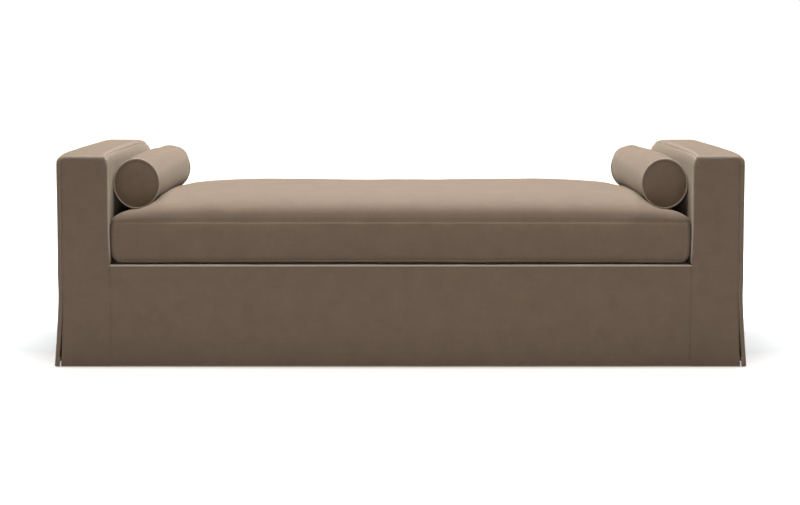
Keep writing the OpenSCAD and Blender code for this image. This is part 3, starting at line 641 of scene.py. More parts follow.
def end_panel(end):
    """End panel of an arm: rows from the hem up, columns from the inner to the outer edge."""
    wide, tall = inner_roll(end)
    top = ARM_TOP - EDGE_R
    low_turn = top - tall
    wide_out, tall_out = OUTER_R - WRAP_R, OUTER_R - EDGE_R
    hem = [(u, HEM + v) for u, v in hem_path()]
    z_up = STRAIGHT + cloth_steps(low_turn - STRAIGHT, 0.013, 0.004)
    angles = np.radians([8, 16, 24, 32, 40, 48, 55, 62, 68, 74, 79, 83, 86.5, 90])
    levels = hem + [(0.0, z) for z in (*z_up, *(low_turn + tall * np.sin(angles)))]
    rows = []
    for depth, z in levels:
        up = max(0.0, z - low_turn) / tall
        x0 = INNER_X - puff(end, z) + float(drawn(z)) * EDGE_R
        x0 += wide * (1 - math.sqrt(max(0.0, 1 - up ** 2)))
        up = max(0.0, z - (top - tall_out)) / tall_out
        x1 = OUTER_X - OUTER_R + wide_out * math.sqrt(max(0.0, 1 - up ** 2))
        x1 += 0.62 * FLARE * float(flare(max(z, HEM))) + float(belly(z))
        share = cloth_steps(END_WIDTH, 0.011) / END_WIDTH
        x = x0 + share * (x1 - x0)
        rows.append(points_at(x, depth - HALF_D, z))
    grid = np.array(rows)
    sway = 0.0012 * np.clip((PLEAT_TOP - grid[..., 2]) / PLEAT_TOP, 0, 1)
    grid[..., 1] += sway * swell(grid, (0.09, 1, 0.6), 9)
    return sewn(grid, ("last", "left", "right"), -1, soft=0.0006, seed=51, hem=0)


panels = {"arm_top": top_panel(), "arm_inside": inside_panel(), "outside": outside_panel(),
          "arm_front": end_panel(-HALF_D), "arm_rear": end_panel(HALF_D)}
for label, (grid, *_) in panels.items():
    print(label, "panel", grid.shape[:2])

# %% [markdown]
# Both arms have the same panels, so each is made once and mirrored. A mirror turns the faces
# round, so their order is reversed with it. The cloth is then thickened inwards, and each
# panel stands for its CAD node.

# %% Arm covers


COVER = 0.0011
PAD_R = 0.026


def cloth_panel(name, panel, node, side=1, rear=False, highlight_gain=1.0):
    plain_side, out, plain = panel
    grid = plain_side * [side, -1 if rear else 1, 1]
    faces = grid_faces(*grid.shape[:2])
    if (out > 0) != ((side < 0) != rear):
        faces = faces[:, ::-1]
    piece = new_piece(name, grid, faces)
    paint_edge_highlight(piece, plain, highlight_gain=highlight_gain)
    thicken(piece, COVER)
    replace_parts(piece, node)


def arm_pad():
    """The padding under the covers, an upturned U as thick as its CAD node, 2 mm inside them."""
    rows = []
    far = HALF_D - 0.004
    for y in np.linspace(-far, far, 40):
        edge = 0.008 * max(0.0, 1 - (far - abs(y)) / 0.012) ** 2
        lines = []
        for deep in (0.0024 + edge, 0.0085 - edge / 4):
            x, top = HALF_L - deep, arm_top(y) - deep
            wide, tall = inner_roll(y)
            inner = [(INNER_X + deep + wide * (1 + math.cos(a)), top - tall * (1 - math.sin(a)))
                     for a in np.linspace(math.pi / 2, math.pi, 16)]
            path = [(x, DECK), *arc(x - PAD_R, top - PAD_R, PAD_R, 0, 90, 12), *inner, (INNER_X + deep, DECK)]
            lines.append(along(path, np.linspace(0, 1, 90)))
        loop = np.vstack([lines[0], lines[1][::-1]])
        rows.append(points_at(loop[:, 0], y, loop[:, 1]))
    return np.array(rows)


def closed_rings(name, grid, slot_name, body="divan"):
    """A closed piece from rings of points, with an end face on the first and last ring."""
    rows, cols = grid.shape[:2]
    faces = grid_faces(rows, cols, ring=True).tolist()
    for start, flip in ((0, 1), ((rows - 1) * cols, -1)):
        far = start + cols - 1
        faces += [[start + i, start + i + 1, far - i - 1, far - i][::flip] for i in range(cols // 2 - 1)]
    piece = new_piece(name, grid, faces, body, slot_name)
    turn_outwards(piece.data)
    return piece


def turn_outwards(mesh):
    data = bmesh.new()
    data.from_mesh(mesh)
    bmesh.ops.recalc_face_normals(data, faces=data.faces)
    data.to_mesh(mesh)
    data.free()


def closed_pad(name, grid, node):
    piece = closed_rings(name, grid, "fibre_pad")
    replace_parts(piece, node)


for side, word in SIDES:
    closed_pad(f"{word}_arm_wadding", arm_pad() * np.array([side, 1, 1]), f"{word}_arm_padding")
    # The gains set how strong the painted highlight is on each panel: stronger on the inside panels, weaker
    # on the outside ones.
    for label in ("arm_top", "arm_inside", "arm_front", "outside"):
        cloth_panel(f"{word}_{label}", panels[label], f"{word}_{label}_cover", side,
                    highlight_gain={"arm_inside": 1.6, "outside": 0.35}.get(label, 1.0))
    cloth_panel(f"{word}_arm_rear", panels["arm_rear"], f"{word}_arm_rear_cover", side, rear=True)
print("arm panels made")

# %% [markdown]
# Between the arms the cover falls from the deck to the floor in one plane. Its top edge rolls
# over the front of the deck, and that roll is the bright line under the cushion.

# %% Skirt panels and deck
BETWEEN_ARMS = INNER_X - 0.0004


def skirt_panel():
    roll, top = 0.0045, DECK - 0.0008
    path = [(u, HEM + v) for u, v in hem_path()]
    path += [(0.0, z) for z in np.linspace(STRAIGHT, top - roll - 0.002, 24)]
    path += [(roll - roll * math.cos(a), top - roll + roll * math.sin(a))
             for a in np.linspace(0, math.pi / 2, 9)]
    path += [(d, top - 0.0027 * min(1.0, (d - roll) / 0.010))
             for d in (0.010, 0.014, 0.018, 0.024, 0.030, 0.034)]
    x = cloth_steps(2 * BETWEEN_ARMS, 0.016) - BETWEEN_ARMS
    grid = np.array([[(a, u - HALF_D, z) for a in x] for u, z in path])
    free = np.clip((PLEAT_TOP - grid[..., 2]) / PLEAT_TOP, 0, 1)
    grid[..., 1] += 0.0013 * free * swell(grid, (0.14, 1, 0.7), 12)
    return sewn(grid, ("last", "left", "right"), -1, soft=0.0008, seed=61, ridge=0.0004, hem=0)


def deck_panel():
    x = cloth_steps(2 * INNER_X, 0.03) - INNER_X
    y = cloth_steps(2 * HALF_D - 0.068, 0.03) - HALF_D + 0.034
    grid = np.array([[(a, b, DECK - 0.0035) for a in x] for b in y])
    return sewn(grid, ("first", "last"), -1, tuck=0.001, soft=0.0002, seed=71, ridge=0.0)


def deck_wadding():
    """The deck pad, rounded at the front and rear, 1.5 mm inside the cloth."""
    low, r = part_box("deck_pad")[0].z, 0.0065
    y0, top = HALF_D - 0.0015, DECK - 0.0052
    over = [(-(y0 - r + r * math.cos(a)), top - r + r * math.sin(a)) for a in np.linspace(0, math.pi / 2, 8)]
    over += [(-y, z) for y, z in reversed(over)]
    under = [(y * 0.998, low + 0.0004) for y, _ in over]
    loop = np.array(over + under[::-1])
    x = np.linspace(-INNER_X + 0.004, INNER_X - 0.004, 30)
    return np.array([points_at(a, *loop.T) for a in x])


skirt = skirt_panel()
# The skirt's gain makes its rolled top edge, the lip, a strong painted highlight, brighter than the light
# that reaches it under the cushion.
for word, rear in (("front", False), ("rear", True)):
    cloth_panel(f"{word}_skirt", skirt, f"{word}_skirt_panel", rear=rear,
                highlight_gain=2.2)
closed_pad("deck_wadding", deck_wadding(), "deck_pad")
cloth_panel("deck_cloth", deck_panel(), "deck_cover")
print("skirt and deck made")

# %% [markdown]
# Behind each slit lies the cloth of the pleat, folded round the corner of the frame, so that
# the slit shows cloth and never the frame. It hangs as one L from hem to rail.

# %% Pleat cloths


TURN_UP = 0.0012


def pleat_cloth(side, rear):
    low = HEM + 0.0008
    far, deep = HALF_L - 0.0030, HALF_D - 0.0030
    plan = [(far - 0.085, deep), (far - 0.012, deep)]
    plan += [(far - 0.008 + 0.008 * math.sin(a), deep - 0.008 + 0.008 * math.cos(a))
             for a in np.linspace(0.1, math.pi / 2, 8)]
    plan += [(far, deep - 0.012), (far, deep - 0.085)]
    line = along(plan, cloth_steps(0.16, 0.008))
    toward = np.array([far - 0.05, deep - 0.05]) - line
    toward = toward / np.linalg.norm(toward, axis=1, keepdims=True)
    fold = np.linspace(0, math.pi, 7)
    up = low + TURN_UP + cloth_steps(PLEAT_TOP - low - TURN_UP, 0.02)[1:]
    levels = [low + 0.030, low + 0.015, *(low + TURN_UP - TURN_UP * np.sin(fold)), *up]
    depths = [2 * TURN_UP, 2 * TURN_UP, *(TURN_UP + TURN_UP * np.cos(fold)), *(0 * up)]
    mirror = [side, 1 if rear else -1, 1]
    return np.array([points_at(*(line + toward * d).T, z) * mirror for z, d in zip(levels, depths)])


points, faces, start = [], [], 0
for side, rear in ((-1, False), (-1, True), (1, False), (1, True)):
    grid = pleat_cloth(side, rear)
    f = grid_faces(*grid.shape[:2])
    if (side > 0) == rear:
        f = f[:, ::-1]
    points.append(grid.reshape(-1, 3))
    faces.append(f + start)
    start += len(points[-1])
pleats = new_piece("pleat_cloths", np.vstack(points), np.vstack(faces))
thicken(pleats, 0.0009)
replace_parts(pleats, "corner_pleats")
print("pleat cloths made")

# %% [markdown]
# A filled cover is under tension, and its billows are hard to guess. So a coarse copy of a cover
# is run through Blender's Cloth: it is cut a little too large, held along its seams and blown up
# by a light pressure for twenty frames. How each point moved is then spread over the fine rings,
# and held to a cap, because the outlines already fit.

# %% Cloth trial
FRAMES = 20
ROW_STEP, COLUMN_STEP = 2, 4
PRESSURE = 4.0
SPARE = 0.006
BLURS = 6


def blurred(field):
    """The field of a closed grid of rings, averaged with its neighbours along and across the rings."""
    for _ in range(BLURS):
        field = (np.roll(field, 1, axis=1) + 2 * field + np.roll(field, -1, axis=1)) / 4
        field[1:-1] = (field[:-2] + 2 * field[1:-1] + field[2:]) / 4
    return field


def trial_cloth(name, coarse, still):
    """The coarse rings as an object with Cloth on it; the points in still are held."""
    rows, count = coarse.shape[:2]
    faces = grid_faces(rows, count, ring=True).tolist()
    faces += [list(range(count)), [(rows - 1) * count + j for j in reversed(range(count))]]
    data = bpy.data.meshes.new(name + "_trial")
    data.from_pydata(coarse.reshape(-1, 3).tolist(), [], faces)
    trial = bpy.data.objects.new(name + "_trial", data)
    scene.collection.objects.link(trial)
    trial.vertex_groups.new(name="held").add(still, 1.0, "REPLACE")
    turn_outwards(data)
    cloth = trial.modifiers.new("cloth", "CLOTH")
    cloth.settings.vertex_group_mass = "held"
    cloth.settings.quality = 6
    cloth.settings.use_pressure = True
    cloth.settings.uniform_pressure_force = PRESSURE
    cloth.settings.shrink_min = -SPARE
    cloth.settings.effector_weights.gravity = 0.0
    cloth.point_cache.frame_start, cloth.point_cache.frame_end = 1, FRAMES
    return trial


def settled(name, grid, held, cap):
    """How far the points of closed rings move in a short cloth simulation; the rows in held stay."""
    rows = np.array(sorted(set(range(0, len(grid), ROW_STEP)) | set(held) | {len(grid) - 1}))
    coarse = grid[rows][:, ::COLUMN_STEP]
    count = coarse.shape[1]
    trial = trial_cloth(name, coarse, [k * count + j for k, row in enumerate(rows) if row in held
                                       for j in range(count)])
    for frame_number in range(1, FRAMES + 1):
        scene.frame_set(frame_number)
    shape = trial.evaluated_get(bpy.context.evaluated_depsgraph_get()).to_mesh()
    place = np.empty(3 * len(shape.vertices), np.float32)
    shape.vertices.foreach_get("co", place)
    move = place.reshape(coarse.shape) - coarse
    scene.frame_set(1)
    bpy.data.objects.remove(trial)
    far = np.linalg.norm(move, axis=-1, keepdims=True)
    print(f"{name}: cloth moved {1000 * float(far.mean()):.1f} mm on average,",
          f"{1000 * float(far.max()):.1f} mm at most")
    move = move * cap * np.tanh(far / cap) / np.maximum(far, 1e-9)
    i = np.clip(np.searchsorted(rows, np.arange(len(grid)), side="right") - 1, 0, len(rows) - 2)
    t = ((np.arange(len(grid)) - rows[i]) / (rows[i + 1] - rows[i]))[:, None, None]
    move = move[i] * (1 - t) + move[i + 1] * t
    j, s = np.divmod(np.arange(grid.shape[1]), COLUMN_STEP)
    s = (s / COLUMN_STEP)[None, :, None]
    return blurred(move[:, j % count] * (1 - s) + move[:, (j + 1) % count] * s)


print("cloth trial ready")

# %% [markdown]
# The seat cushion is one boxed cover over foam and fibre: a band round the sides, sewn to a
# crowned top and a rounded base. It is built as rings from the middle of the base, out and up
# the band, and in again over the crown, which closes the form and puts a ring on each seam.

# %% Cushion sizes
SEAM_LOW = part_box("seat_cover_band")[0].z - 0.0060
SEAM_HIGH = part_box("seat_cover_band")[1].z
BASE_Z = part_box("seat_cover_bottom")[0].z
CROWN_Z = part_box("seat_cover_top")[1].z
SEAT_A = INNER_X - 0.0035
SEAT_B = HALF_D - 0.017
SEAT_R = 0.024
CROWN = CROWN_Z - SEAM_HIGH - 0.002
BAND_DROP = SEAM_HIGH - SEAM_LOW
low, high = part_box("right_bolster_cover")
CAD_BOLSTER_X, BOLSTER_Y, BOLSTER_Z = ((a + b) / 2 for a, b in zip(high, low))
BOLSTER_R = (high.x - low.x) / 2
BOLSTER_A, BOLSTER_B = BOLSTER_R * 0.981, BOLSTER_R * 1.062
BOLSTER_X = CAD_BOLSTER_X + BOLSTER_R - BOLSTER_A
low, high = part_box("right_bolster_welts")
WELT_R = 0.0022
TUBE = (high.y - low.y) / 2 - 0.0025
low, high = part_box("right_bolster_zip")
ZIP_TURN = math.radians(135)
BOLSTER_ZIP_HALF = (high.y - low.y) / 2
low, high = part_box("seat_zip")
ZIP_HALF = high.x
ZIP_Y, ZIP_Z = low.y, (low.z + high.z) / 2
print(f"crown {CROWN:.3f}, bolster radius {BOLSTER_R:.4f} at x {BOLSTER_X:.3f}, z {BOLSTER_Z:.3f}")

# %% [markdown]
# The height of the crown is a rule: nearly flat along the length until the last stretch, and
# half an ellipse across the depth. Under each bolster it is pressed into a round dent, which
# is a cylinder a little wider than the bolster, blended in so that the cloth rolls into it.

# %% Cushion rings


def crown_height(x, y):
    along_x = np.clip(1 - np.abs(x / SEAT_A) ** 6, 0, 1) ** 0.42
    front = np.clip(1 - np.abs(y / SEAT_B) ** 4.3, 0, 1) ** 0.37
    rear = np.clip(1 - np.abs(y / SEAT_B) ** 2.4, 0, 1) ** 0.5
    beside = 0.011 * np.exp(-np.abs(BOLSTER_X - BOLSTER_A - np.abs(x)) / 0.055)
    beside = beside * np.clip(0.4 + y / 0.4, 0, 1)
    return CROWN * along_x * np.where(y < 0, front, rear) - beside * along_x


def dented(x, y, z, blend=0.004):
    """Press the dents of the bolsters into the height z."""
    wide, tall = BOLSTER_A + 0.0045, BOLSTER_B + 0.0008
    d = BOLSTER_X - np.abs(x)
    front, rear = BOLSTER_Y - TUBE - 0.002, BOLSTER_Y + TUBE + 0.002
    past = np.maximum(np.maximum(front - y, y - rear), 0)
    pressed = BOLSTER_Z - tall * np.sqrt(np.clip(1 - (d / wide) ** 2, 0, None))
    pressed = np.where(d < 0, BOLSTER_Z - tall - 0.026 * (d / 0.064) ** 2, pressed) + past ** 2 / 1.5
    pressed = np.where(d < wide, pressed, 9.0)
    h = np.clip(0.5 + 0.5 * (pressed - z) / blend, 0, 1)
    return pressed * (1 - h) + z * h - blend * h * (1 - h)


def ring_points(inset, r=None, per_side=(60, 120), per_corner=10):
    """The rounded outline of the cushion less an inset, counterclockwise from the right side, with its
    sharp-cornered twin."""
    a, b = SEAT_A - inset, SEAT_B - inset
    r = r or SEAT_R
    short, long_side = per_side
    pts, sharp = [], []
    spans = [((a, -(b - r)), (a, b - r), short), ((a - r, b), (-(a - r), b), long_side),
             ((-a, b - r), (-a, -(b - r)), short), ((-(a - r), -b), (a - r, -b), long_side)]
    for turn, (start, stop, count) in enumerate(spans):
        for t in np.linspace(-1, 1, count + 1):
            s = 0.5 + 0.5 * (0.75 * t + 0.25 * t ** 3)
            p = (start[0] + s * (stop[0] - start[0]), start[1] + s * (stop[1] - start[1]))
            pts.append(p)
            sharp.append(p)
        cx, cy = (math.copysign(a - r, stop[0]), math.copysign(b - r, stop[1]))
        for i in range(1, per_corner):
            t = math.radians(90 * (turn + i / per_corner))
            c, s = math.cos(t), math.sin(t)
            m = max(abs(c), abs(s))
            pts.append((cx + r * c, cy + r * s))
            sharp.append((cx + r * c / m, cy + r * s / m))
    return np.array(pts), np.array(sharp)


def drawn_in(p):
    """The corners keep their points while the sides draw in between them."""
    x, y = p[:, 0], p[:, 1]
    end = 0.0015 - 0.0075 * (1 - np.clip(np.abs(y) / SEAT_B, 0, 1) ** 3)
    front = 0.0015 - 0.0030 * (1 - np.clip(np.abs(x) / SEAT_A, 0, 1) ** 8)
    return np.stack([x + np.sign(x) * end * np.abs(x / SEAT_A) ** 8,
                     y + np.sign(y) * front * np.abs(y / SEAT_B) ** 8], axis=1)


def crown_ring(inset):
    pts, sharp = ring_points(inset)
    p = drawn_in(pts)
    q = pts + (sharp - pts) * math.exp(-inset / 0.02)
    rule = crown_height(np.clip(q[:, 0], -SEAT_A, SEAT_A), np.clip(q[:, 1], -SEAT_B, SEAT_B))
    shoulder = 0.029 * math.sqrt(1 - (1 - min(inset, 0.05) / 0.05) ** 2)
    shoulder = shoulder * (1 + 0.22 * np.abs(p[:, 0] / SEAT_A) ** 6)
    z = SEAM_HIGH + (rule ** 4 + shoulder ** 4) ** 0.25
    return np.column_stack([p, dented(p[:, 0], p[:, 1], z)])


def side_ring(pts, full, z):
    """A ring of the sides at height z; full widens it at the four corners of its short sides."""
    p = drawn_in(pts)
    near = np.exp(-np.clip(SEAT_B - np.abs(p[:, 1]), 0, None) / 0.05) * np.abs(p[:, 0] / SEAT_A) ** 8
    p[:, 0] += np.sign(p[:, 0]) * near * full
    return points_at(*p.T, z)


def band_ring(share):
    belly_out = 1 - (2 * share - 1) ** 2
    out = 0.0045 * belly_out - 0.0028 * max(0.0, 1 - share / 0.16) ** 2
    full = 0.004 * belly_out - 0.010 * (1 - math.sqrt(1 - max(0.0, 1 - share / 0.32) ** 2))
    return side_ring(ring_points(-out, SEAT_R + out)[0], full, SEAM_LOW + share * BAND_DROP)


def base_ring(angle):
    pts = ring_points(0.0028 + 0.0212 * (1 - math.cos(angle)))[0]
    return side_ring(pts, -0.009, SEAM_LOW - (SEAM_LOW - BASE_Z) * math.sin(angle))


def flat_ring(inset):
    return points_at(*ring_points(inset)[0].T, BASE_Z)


def closed_form(grid, first, last):
    """Points and faces of closed rings, with a fan of faces from a middle point over each end."""
    rows, count = grid.shape[:2]
    points = np.vstack([grid.reshape(-1, 3), [first, last]])
    faces = grid_faces(rows, count, ring=True).tolist()
    top = (rows - 1) * count
    for j in range(count):
        k = (j + 1) % count
        faces += [[k, j, rows * count], [top + j, top + k, rows * count + 1]]
    return points, faces


print("points on a ring:", len(ring_points(0)[0]))

# %% [markdown]
# Seams are where cushion covers come alive. Each seam ring is pulled in by two millimetres, the
# cloth on both sides is gathered into short ridges that cross the seam, and towards the corners,
# where the pull is strongest, the ridges grow longer.

# %% Seat cushion


FLATS = [0.40, 0.30, 0.22, 0.14, 0.08, 0.04, 0.028]
BASE_TURNS = [90, 75, 60, 45, 30, 18, 9, 4]
SHARES = [0, 0.006, 0.014, 0.026, 0.045, 0.075, 0.12, 0.18, 0.26, 0.34, 0.42, 0.5, 0.58, 0.66, 0.74, 0.82,
          0.88, 0.925, 0.955, 0.974, 0.986, 0.994]
INSETS = [0, 0.0005, 0.0012, 0.0022, 0.0036, 0.0056, 0.0085, 0.0125, 0.018, 0.025, 0.033, 0.042, 0.052,
          0.062, 0.072, 0.082, 0.092, 0.102, 0.112, 0.122, 0.132, 0.142, 0.154, 0.168, 0.186, 0.21, 0.24,
          0.275, 0.315, 0.36, 0.40, 0.43]
SEAM_A = len(FLATS) + len(BASE_TURNS)
SEAM_B = SEAM_A + len(SHARES)
CUSHION_CAP, CUSHION_ROOM = 0.003, 0.0010


def cushion_moves(grid, near_corner):
    """How far each point of the cushion moves outwards: soft swells, drawn-in seams and gathers."""
    down, across = runs(grid)
    move = 0.0013 * swell(grid, 0.19, 81) + 0.0007 * swell(grid, 0.07, 82)
    move = np.where(grid[..., 2] < SEAM_LOW - 0.013, 0, move)
    line = points_at(across, 0.0, 0.0)
    for seam, tuck, seed in ((SEAM_A, 0.0018, 83), (SEAM_B, 0.0020, 87)):
        away = np.abs(down - down[seam])
        gathers = swell(line, 0.013, seed) + 0.6 * swell(line, 0.006, seed + 1)
        patch = 0.55 + 0.45 * swell(line, 0.12, seed + 2)
        reach = 0.012 + 0.030 * near_corner
        ridge = (0.0005 + 0.0012 * near_corner) * patch * gathers * np.exp(-away / reach)
        move = move - tuck * bell(away, 0.0023)
        move = move + ridge * (1 - np.exp(-away / 0.002))
    below = SEAM_HIGH - grid[..., 2]
    pinch = np.sin(below / 0.0046 * 2 * math.pi) * np.exp(-np.clip(below, 0, None) / 0.009) * (below > 0)
    return move + 0.0012 * pinch * near_corner ** 1.5


def seat_cushion():
    plain = np.array([flat_ring(i) for i in FLATS] + [base_ring(a) for a in np.radians(BASE_TURNS)] +
                     [band_ring(s) for s in SHARES] + [crown_ring(i) for i in INSETS])
    to_corner = (SEAT_A - np.abs(plain[..., 0])) + (SEAT_B - np.abs(plain[..., 1]))
    move = cushion_moves(plain, np.exp(-np.clip(to_corner, 0, None) / 0.06))
    down = runs(plain)[0]
    inner = BOLSTER_X - BOLSTER_A
    calm = fade(np.abs(plain[..., 0]), inner - 0.06, inner - 0.01)
    for seam in (SEAM_A, SEAM_B):
        calm = calm * (1 - bell(down - down[seam], 0.008))
    billow = settled("cushion", plain, {*range(SEAM_A + 1), SEAM_B}, CUSHION_CAP)
    normals = -grid_normals(plain, ring=True)
    grid = plain + normals * (move - CUSHION_ROOM * calm)[..., None] + calm[..., None] * billow
    grid[..., 2] = np.maximum(grid[..., 2], BASE_Z)
    bed = fade(np.abs(grid[..., 2] - ZIP_Z), 0.015, 0.034)
    bed = bed * fade(np.abs(grid[..., 0]), ZIP_HALF + 0.005, ZIP_HALF + 0.04)
    grid[..., 1] += bed * (grid[..., 1] > 0) * (ZIP_Y - 0.0003 - grid[..., 1])
    grid[..., 0] = np.clip(grid[..., 0], -BETWEEN_ARMS, BETWEEN_ARMS)
    top = float(grid[-1, :, 2].mean()) + 0.0004
    # A painted highlight: a light line on the band just below the upper seam, added to the edge highlight.
    painted_seam_highlight = bell(down[SEAM_B] - down - 0.0030, 0.0016)
    return *closed_form(grid, [0, 0, BASE_Z], [0, 0, top]), plain, painted_seam_highlight


points, faces, plain, painted_seam_highlight = seat_cushion()
cushion = new_piece("seat_cushion", points, faces, "seat_cushion")
paint_edge_highlight(cushion, plain, extra=2, ring=True, also=0.3 * painted_seam_highlight)
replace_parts(cushion, "seat_cover_top", "seat_cover_band", "seat_cover_bottom", "seat_wrap", "seat_core")
print("cushion", len(points), "points")

# %% [markdown]
# A bolster is a filled tube with a disc at each end, and a welt sewn between. It is turned
# like a pot: rings along its axis, a groove at the welt, and an end that sinks just inside the
# welt and then domes. The cloth of the disc is gathered a little where it meets the welt.

# %% Bolsters


AROUND = 160
EDGE_STEPS = [0, 0.001, 0.0022, 0.0036, 0.0055, 0.008, 0.012, 0.018, 0.026, 0.036, 0.05, 0.07, 0.095]
CAP = [(1.0, -0.0016), (0.985, -0.0012), (0.965, 0.0000), (0.94, 0.0011), (0.905, 0.0024), (0.86, 0.0042),
       (0.80, 0.0060), (0.72, 0.0078), (0.62, 0.0092), (0.50, 0.0102), (0.36, 0.0108), (0.22, 0.0111),
       (0.1, 0.0112)]
END_R = BOLSTER_R - 0.0012
RIM = END_R - WELT_R * 0.9
BOLSTER_CAP, BOLSTER_ROOM = 0.0012, 0.0004


def bolster_rings(angles):
    """Round rings along the axis: one end, the tube with a groove beside each welt, the other end."""
    lift = (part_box("right_bolster_ends")[1].y - BOLSTER_Y - TUBE) / CAP[-1][1] * 0.5
    ys = [-TUBE + t for t in EDGE_STEPS] + list(np.linspace(-TUBE + 0.12, TUBE - 0.12, 40))
    ys += [TUBE - t for t in reversed(EDGE_STEPS)]
    profile = [(RIM * s, -TUBE - h * lift) for s, h in reversed(CAP)]
    profile += [(END_R - 0.0022 * math.exp(-(TUBE - abs(y)) / 0.003) +
                 0.0012 * min(1.0, (TUBE - abs(y)) / 0.12), y) for y in ys]
    profile += [(RIM * s, TUBE + h * lift) for s, h in CAP]
    return np.array([points_at(r * np.sin(angles), y, r * np.cos(angles)) for r, y in profile])


def bolster(side):
    angles = np.arange(AROUND) / AROUND * 2 * math.pi
    plain = bolster_rings(angles)
    y = plain[..., 1]
    far = np.clip((y + TUBE) / 0.25, 0, 1) * np.clip((TUBE - y) / 0.015, 0, 1)
    rear = fade(TUBE - y, 0.06, 0.30)
    toward_arm = np.arctan2(side * np.sin(angles), np.cos(angles))
    square = 0.060 + 0.055 * rear * (toward_arm < 0)
    square = 1 + square * far * np.sin(2 * angles) ** 2 * (np.cos(angles) > 0)
    barrel = np.sin(math.pi * np.clip((y + TUBE) / (1.8 * TUBE), 0, 1))
    square = square + 0.070 * barrel * bell(toward_arm - 0.45, 0.5)
    grid = plain * np.stack([square, 1 + 0 * square, square], axis=-1)
    seed = 90 if side > 0 else 95
    line = points_at(angles[None, :] * BOLSTER_R, 0.0, np.sign(y))
    gathers = swell(line, (0.010, 1, 0.4), seed) + 0.5 * swell(line, (0.005, 1, 0.4), seed + 1)
    radius = np.linalg.norm(grid[..., [0, 2]], axis=-1)
    away = np.where(np.abs(y) > TUBE, np.maximum(RIM - radius, 0), np.abs(np.abs(y) - TUBE))
    ridge = 0.0006 * gathers * np.exp(-away / 0.014) * (1 - np.exp(-away / 0.003))
    slack = 0.0010 * swell(grid, (0.09, 0.13, 0.09), seed + 2)
    slack = slack + 0.0004 * swell(grid, (0.03, 0.05, 0.03), seed + 3)
    rims = {len(CAP) - 1, len(CAP), len(grid) - len(CAP) - 1, len(grid) - len(CAP)}
    calm = np.clip(2 * np.cos(angles), 0, 1) * (1 - bell(TUBE - np.abs(y), 0.010))
    billow = settled(f"bolster {side}", grid, rims, BOLSTER_CAP)
    normals = -grid_normals(grid, ring=True)
    move = ridge + slack - 0.0006 - BOLSTER_ROOM * calm
    grid = grid + normals * move[..., None] + calm[..., None] * billow
    first, last = ([0, grid[end, :, 1].mean() + more, 0] for end, more in ((0, -0.0002), (-1, 0.0002)))
    points, faces = closed_form(grid, first, last)
    points = points * [BOLSTER_A / BOLSTER_R, 1, BOLSTER_B / BOLSTER_R]
    points = points + [side * BOLSTER_X, BOLSTER_Y, BOLSTER_Z]
    from_axis = (points - [side * CAD_BOLSTER_X, BOLSTER_Y, BOLSTER_Z]) * [1, 0, 1]
    reach = np.linalg.norm(from_axis, axis=1)
    turn = np.abs(np.arctan2(side * from_axis[:, 0], from_axis[:, 2]) - ZIP_TURN) * BOLSTER_R
    bed = fade(turn, 0.015, 0.030) * (reach > 0.8 * BOLSTER_R)
    bed = bed * fade(np.abs(points[:, 1] - BOLSTER_Y), BOLSTER_ZIP_HALF + 0.003, TUBE - 0.004)
    points = points + from_axis * (bed * ((BOLSTER_R - 0.0003) / np.maximum(reach, 1e-6) - 1))[:, None]
    return points, faces, plain


for side, word in SIDES:
    points, faces, plain = bolster(side)
    roll = new_piece(f"{word}_bolster", points, faces, f"{word}_bolster")
    paint_edge_highlight(roll, plain, extra=2, ring=True, highlight_gain=0.5)
    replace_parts(roll, f"{word}_bolster_cover", f"{word}_bolster_ends", f"{word}_bolster_core")
print("bolsters made")

# %% [markdown]
# Welts, coils and stitches all follow a path, so Geometry Nodes make them. Each tree takes a path,
# turns it into a curve, makes something of it, and ends in Set Material. The result is kept as a
# plain mesh.

# %% Makers


def maker_tree(name, inputs, nodes, links):
    """A tree from a path to a mesh. Its own inputs are given as name: (kind, value), and its own nodes
    lie between the node resample and the node real."""
    tree = bpy.data.node_groups.new(name, "GeometryNodeTree")
    face = tree.interface
    face.new_socket("Geometry", in_out="INPUT", socket_type="NodeSocketGeometry")
    for label, (kind, value) in inputs.items():
        face.new_socket(label, in_out="INPUT", socket_type="NodeSocket" + kind).default_value = value
    face.new_socket("Material", in_out="INPUT", socket_type="NodeSocketMaterial")
    face.new_socket("Geometry", in_out="OUTPUT", socket_type="NodeSocketGeometry")
    common = {"start": "NodeGroupInput", "stop": "NodeGroupOutput", "to_curve": "GeometryNodeMeshToCurve",
              "real": "GeometryNodeRealizeInstances", "paint": "GeometryNodeSetMaterial"}
    wired(tree, common | nodes, [
        ("start", "Geometry", "to_curve", 0), ("to_curve", 0, "resample", "Curve"), *links,
        ("real", 0, "paint", "Geometry"), ("start", "Material", "paint", "Material"),
        ("paint", 0, "stop", 0)])
    return tree


def grown(name, tree, points, edges, values, body):
    """Run a Geometry Nodes tree on a path and keep the result as a plain mesh."""
    path = bpy.data.meshes.new(name + "_path")
    path.from_pydata([tuple(p) for p in points], edges, [])
    maker = bpy.data.objects.new(name + "_path", path)
    scene.collection.objects.link(maker)
    modifier = maker.modifiers.new("tree", "NODES")
    modifier.node_group = tree
    sockets = {s.name: s.identifier for s in tree.interface.items_tree if s.in_out == "INPUT"}
    for key, value in values.items():
        modifier[sockets[key]] = value
    bpy.context.view_layer.update()
    data = bpy.data.meshes.new_from_object(maker.evaluated_get(bpy.context.evaluated_depsgraph_get()))
    data.name = name
    data.shade_smooth()
    bpy.data.objects.remove(maker)
    return placed(name, data, body)


print("maker helpers ready")

# %% [markdown]
# A welt is a cord wrapped in cloth: a round section swept along the path, with a fixed wobble so
# that it doesn't look machined. Each bolster has two, one round each end.

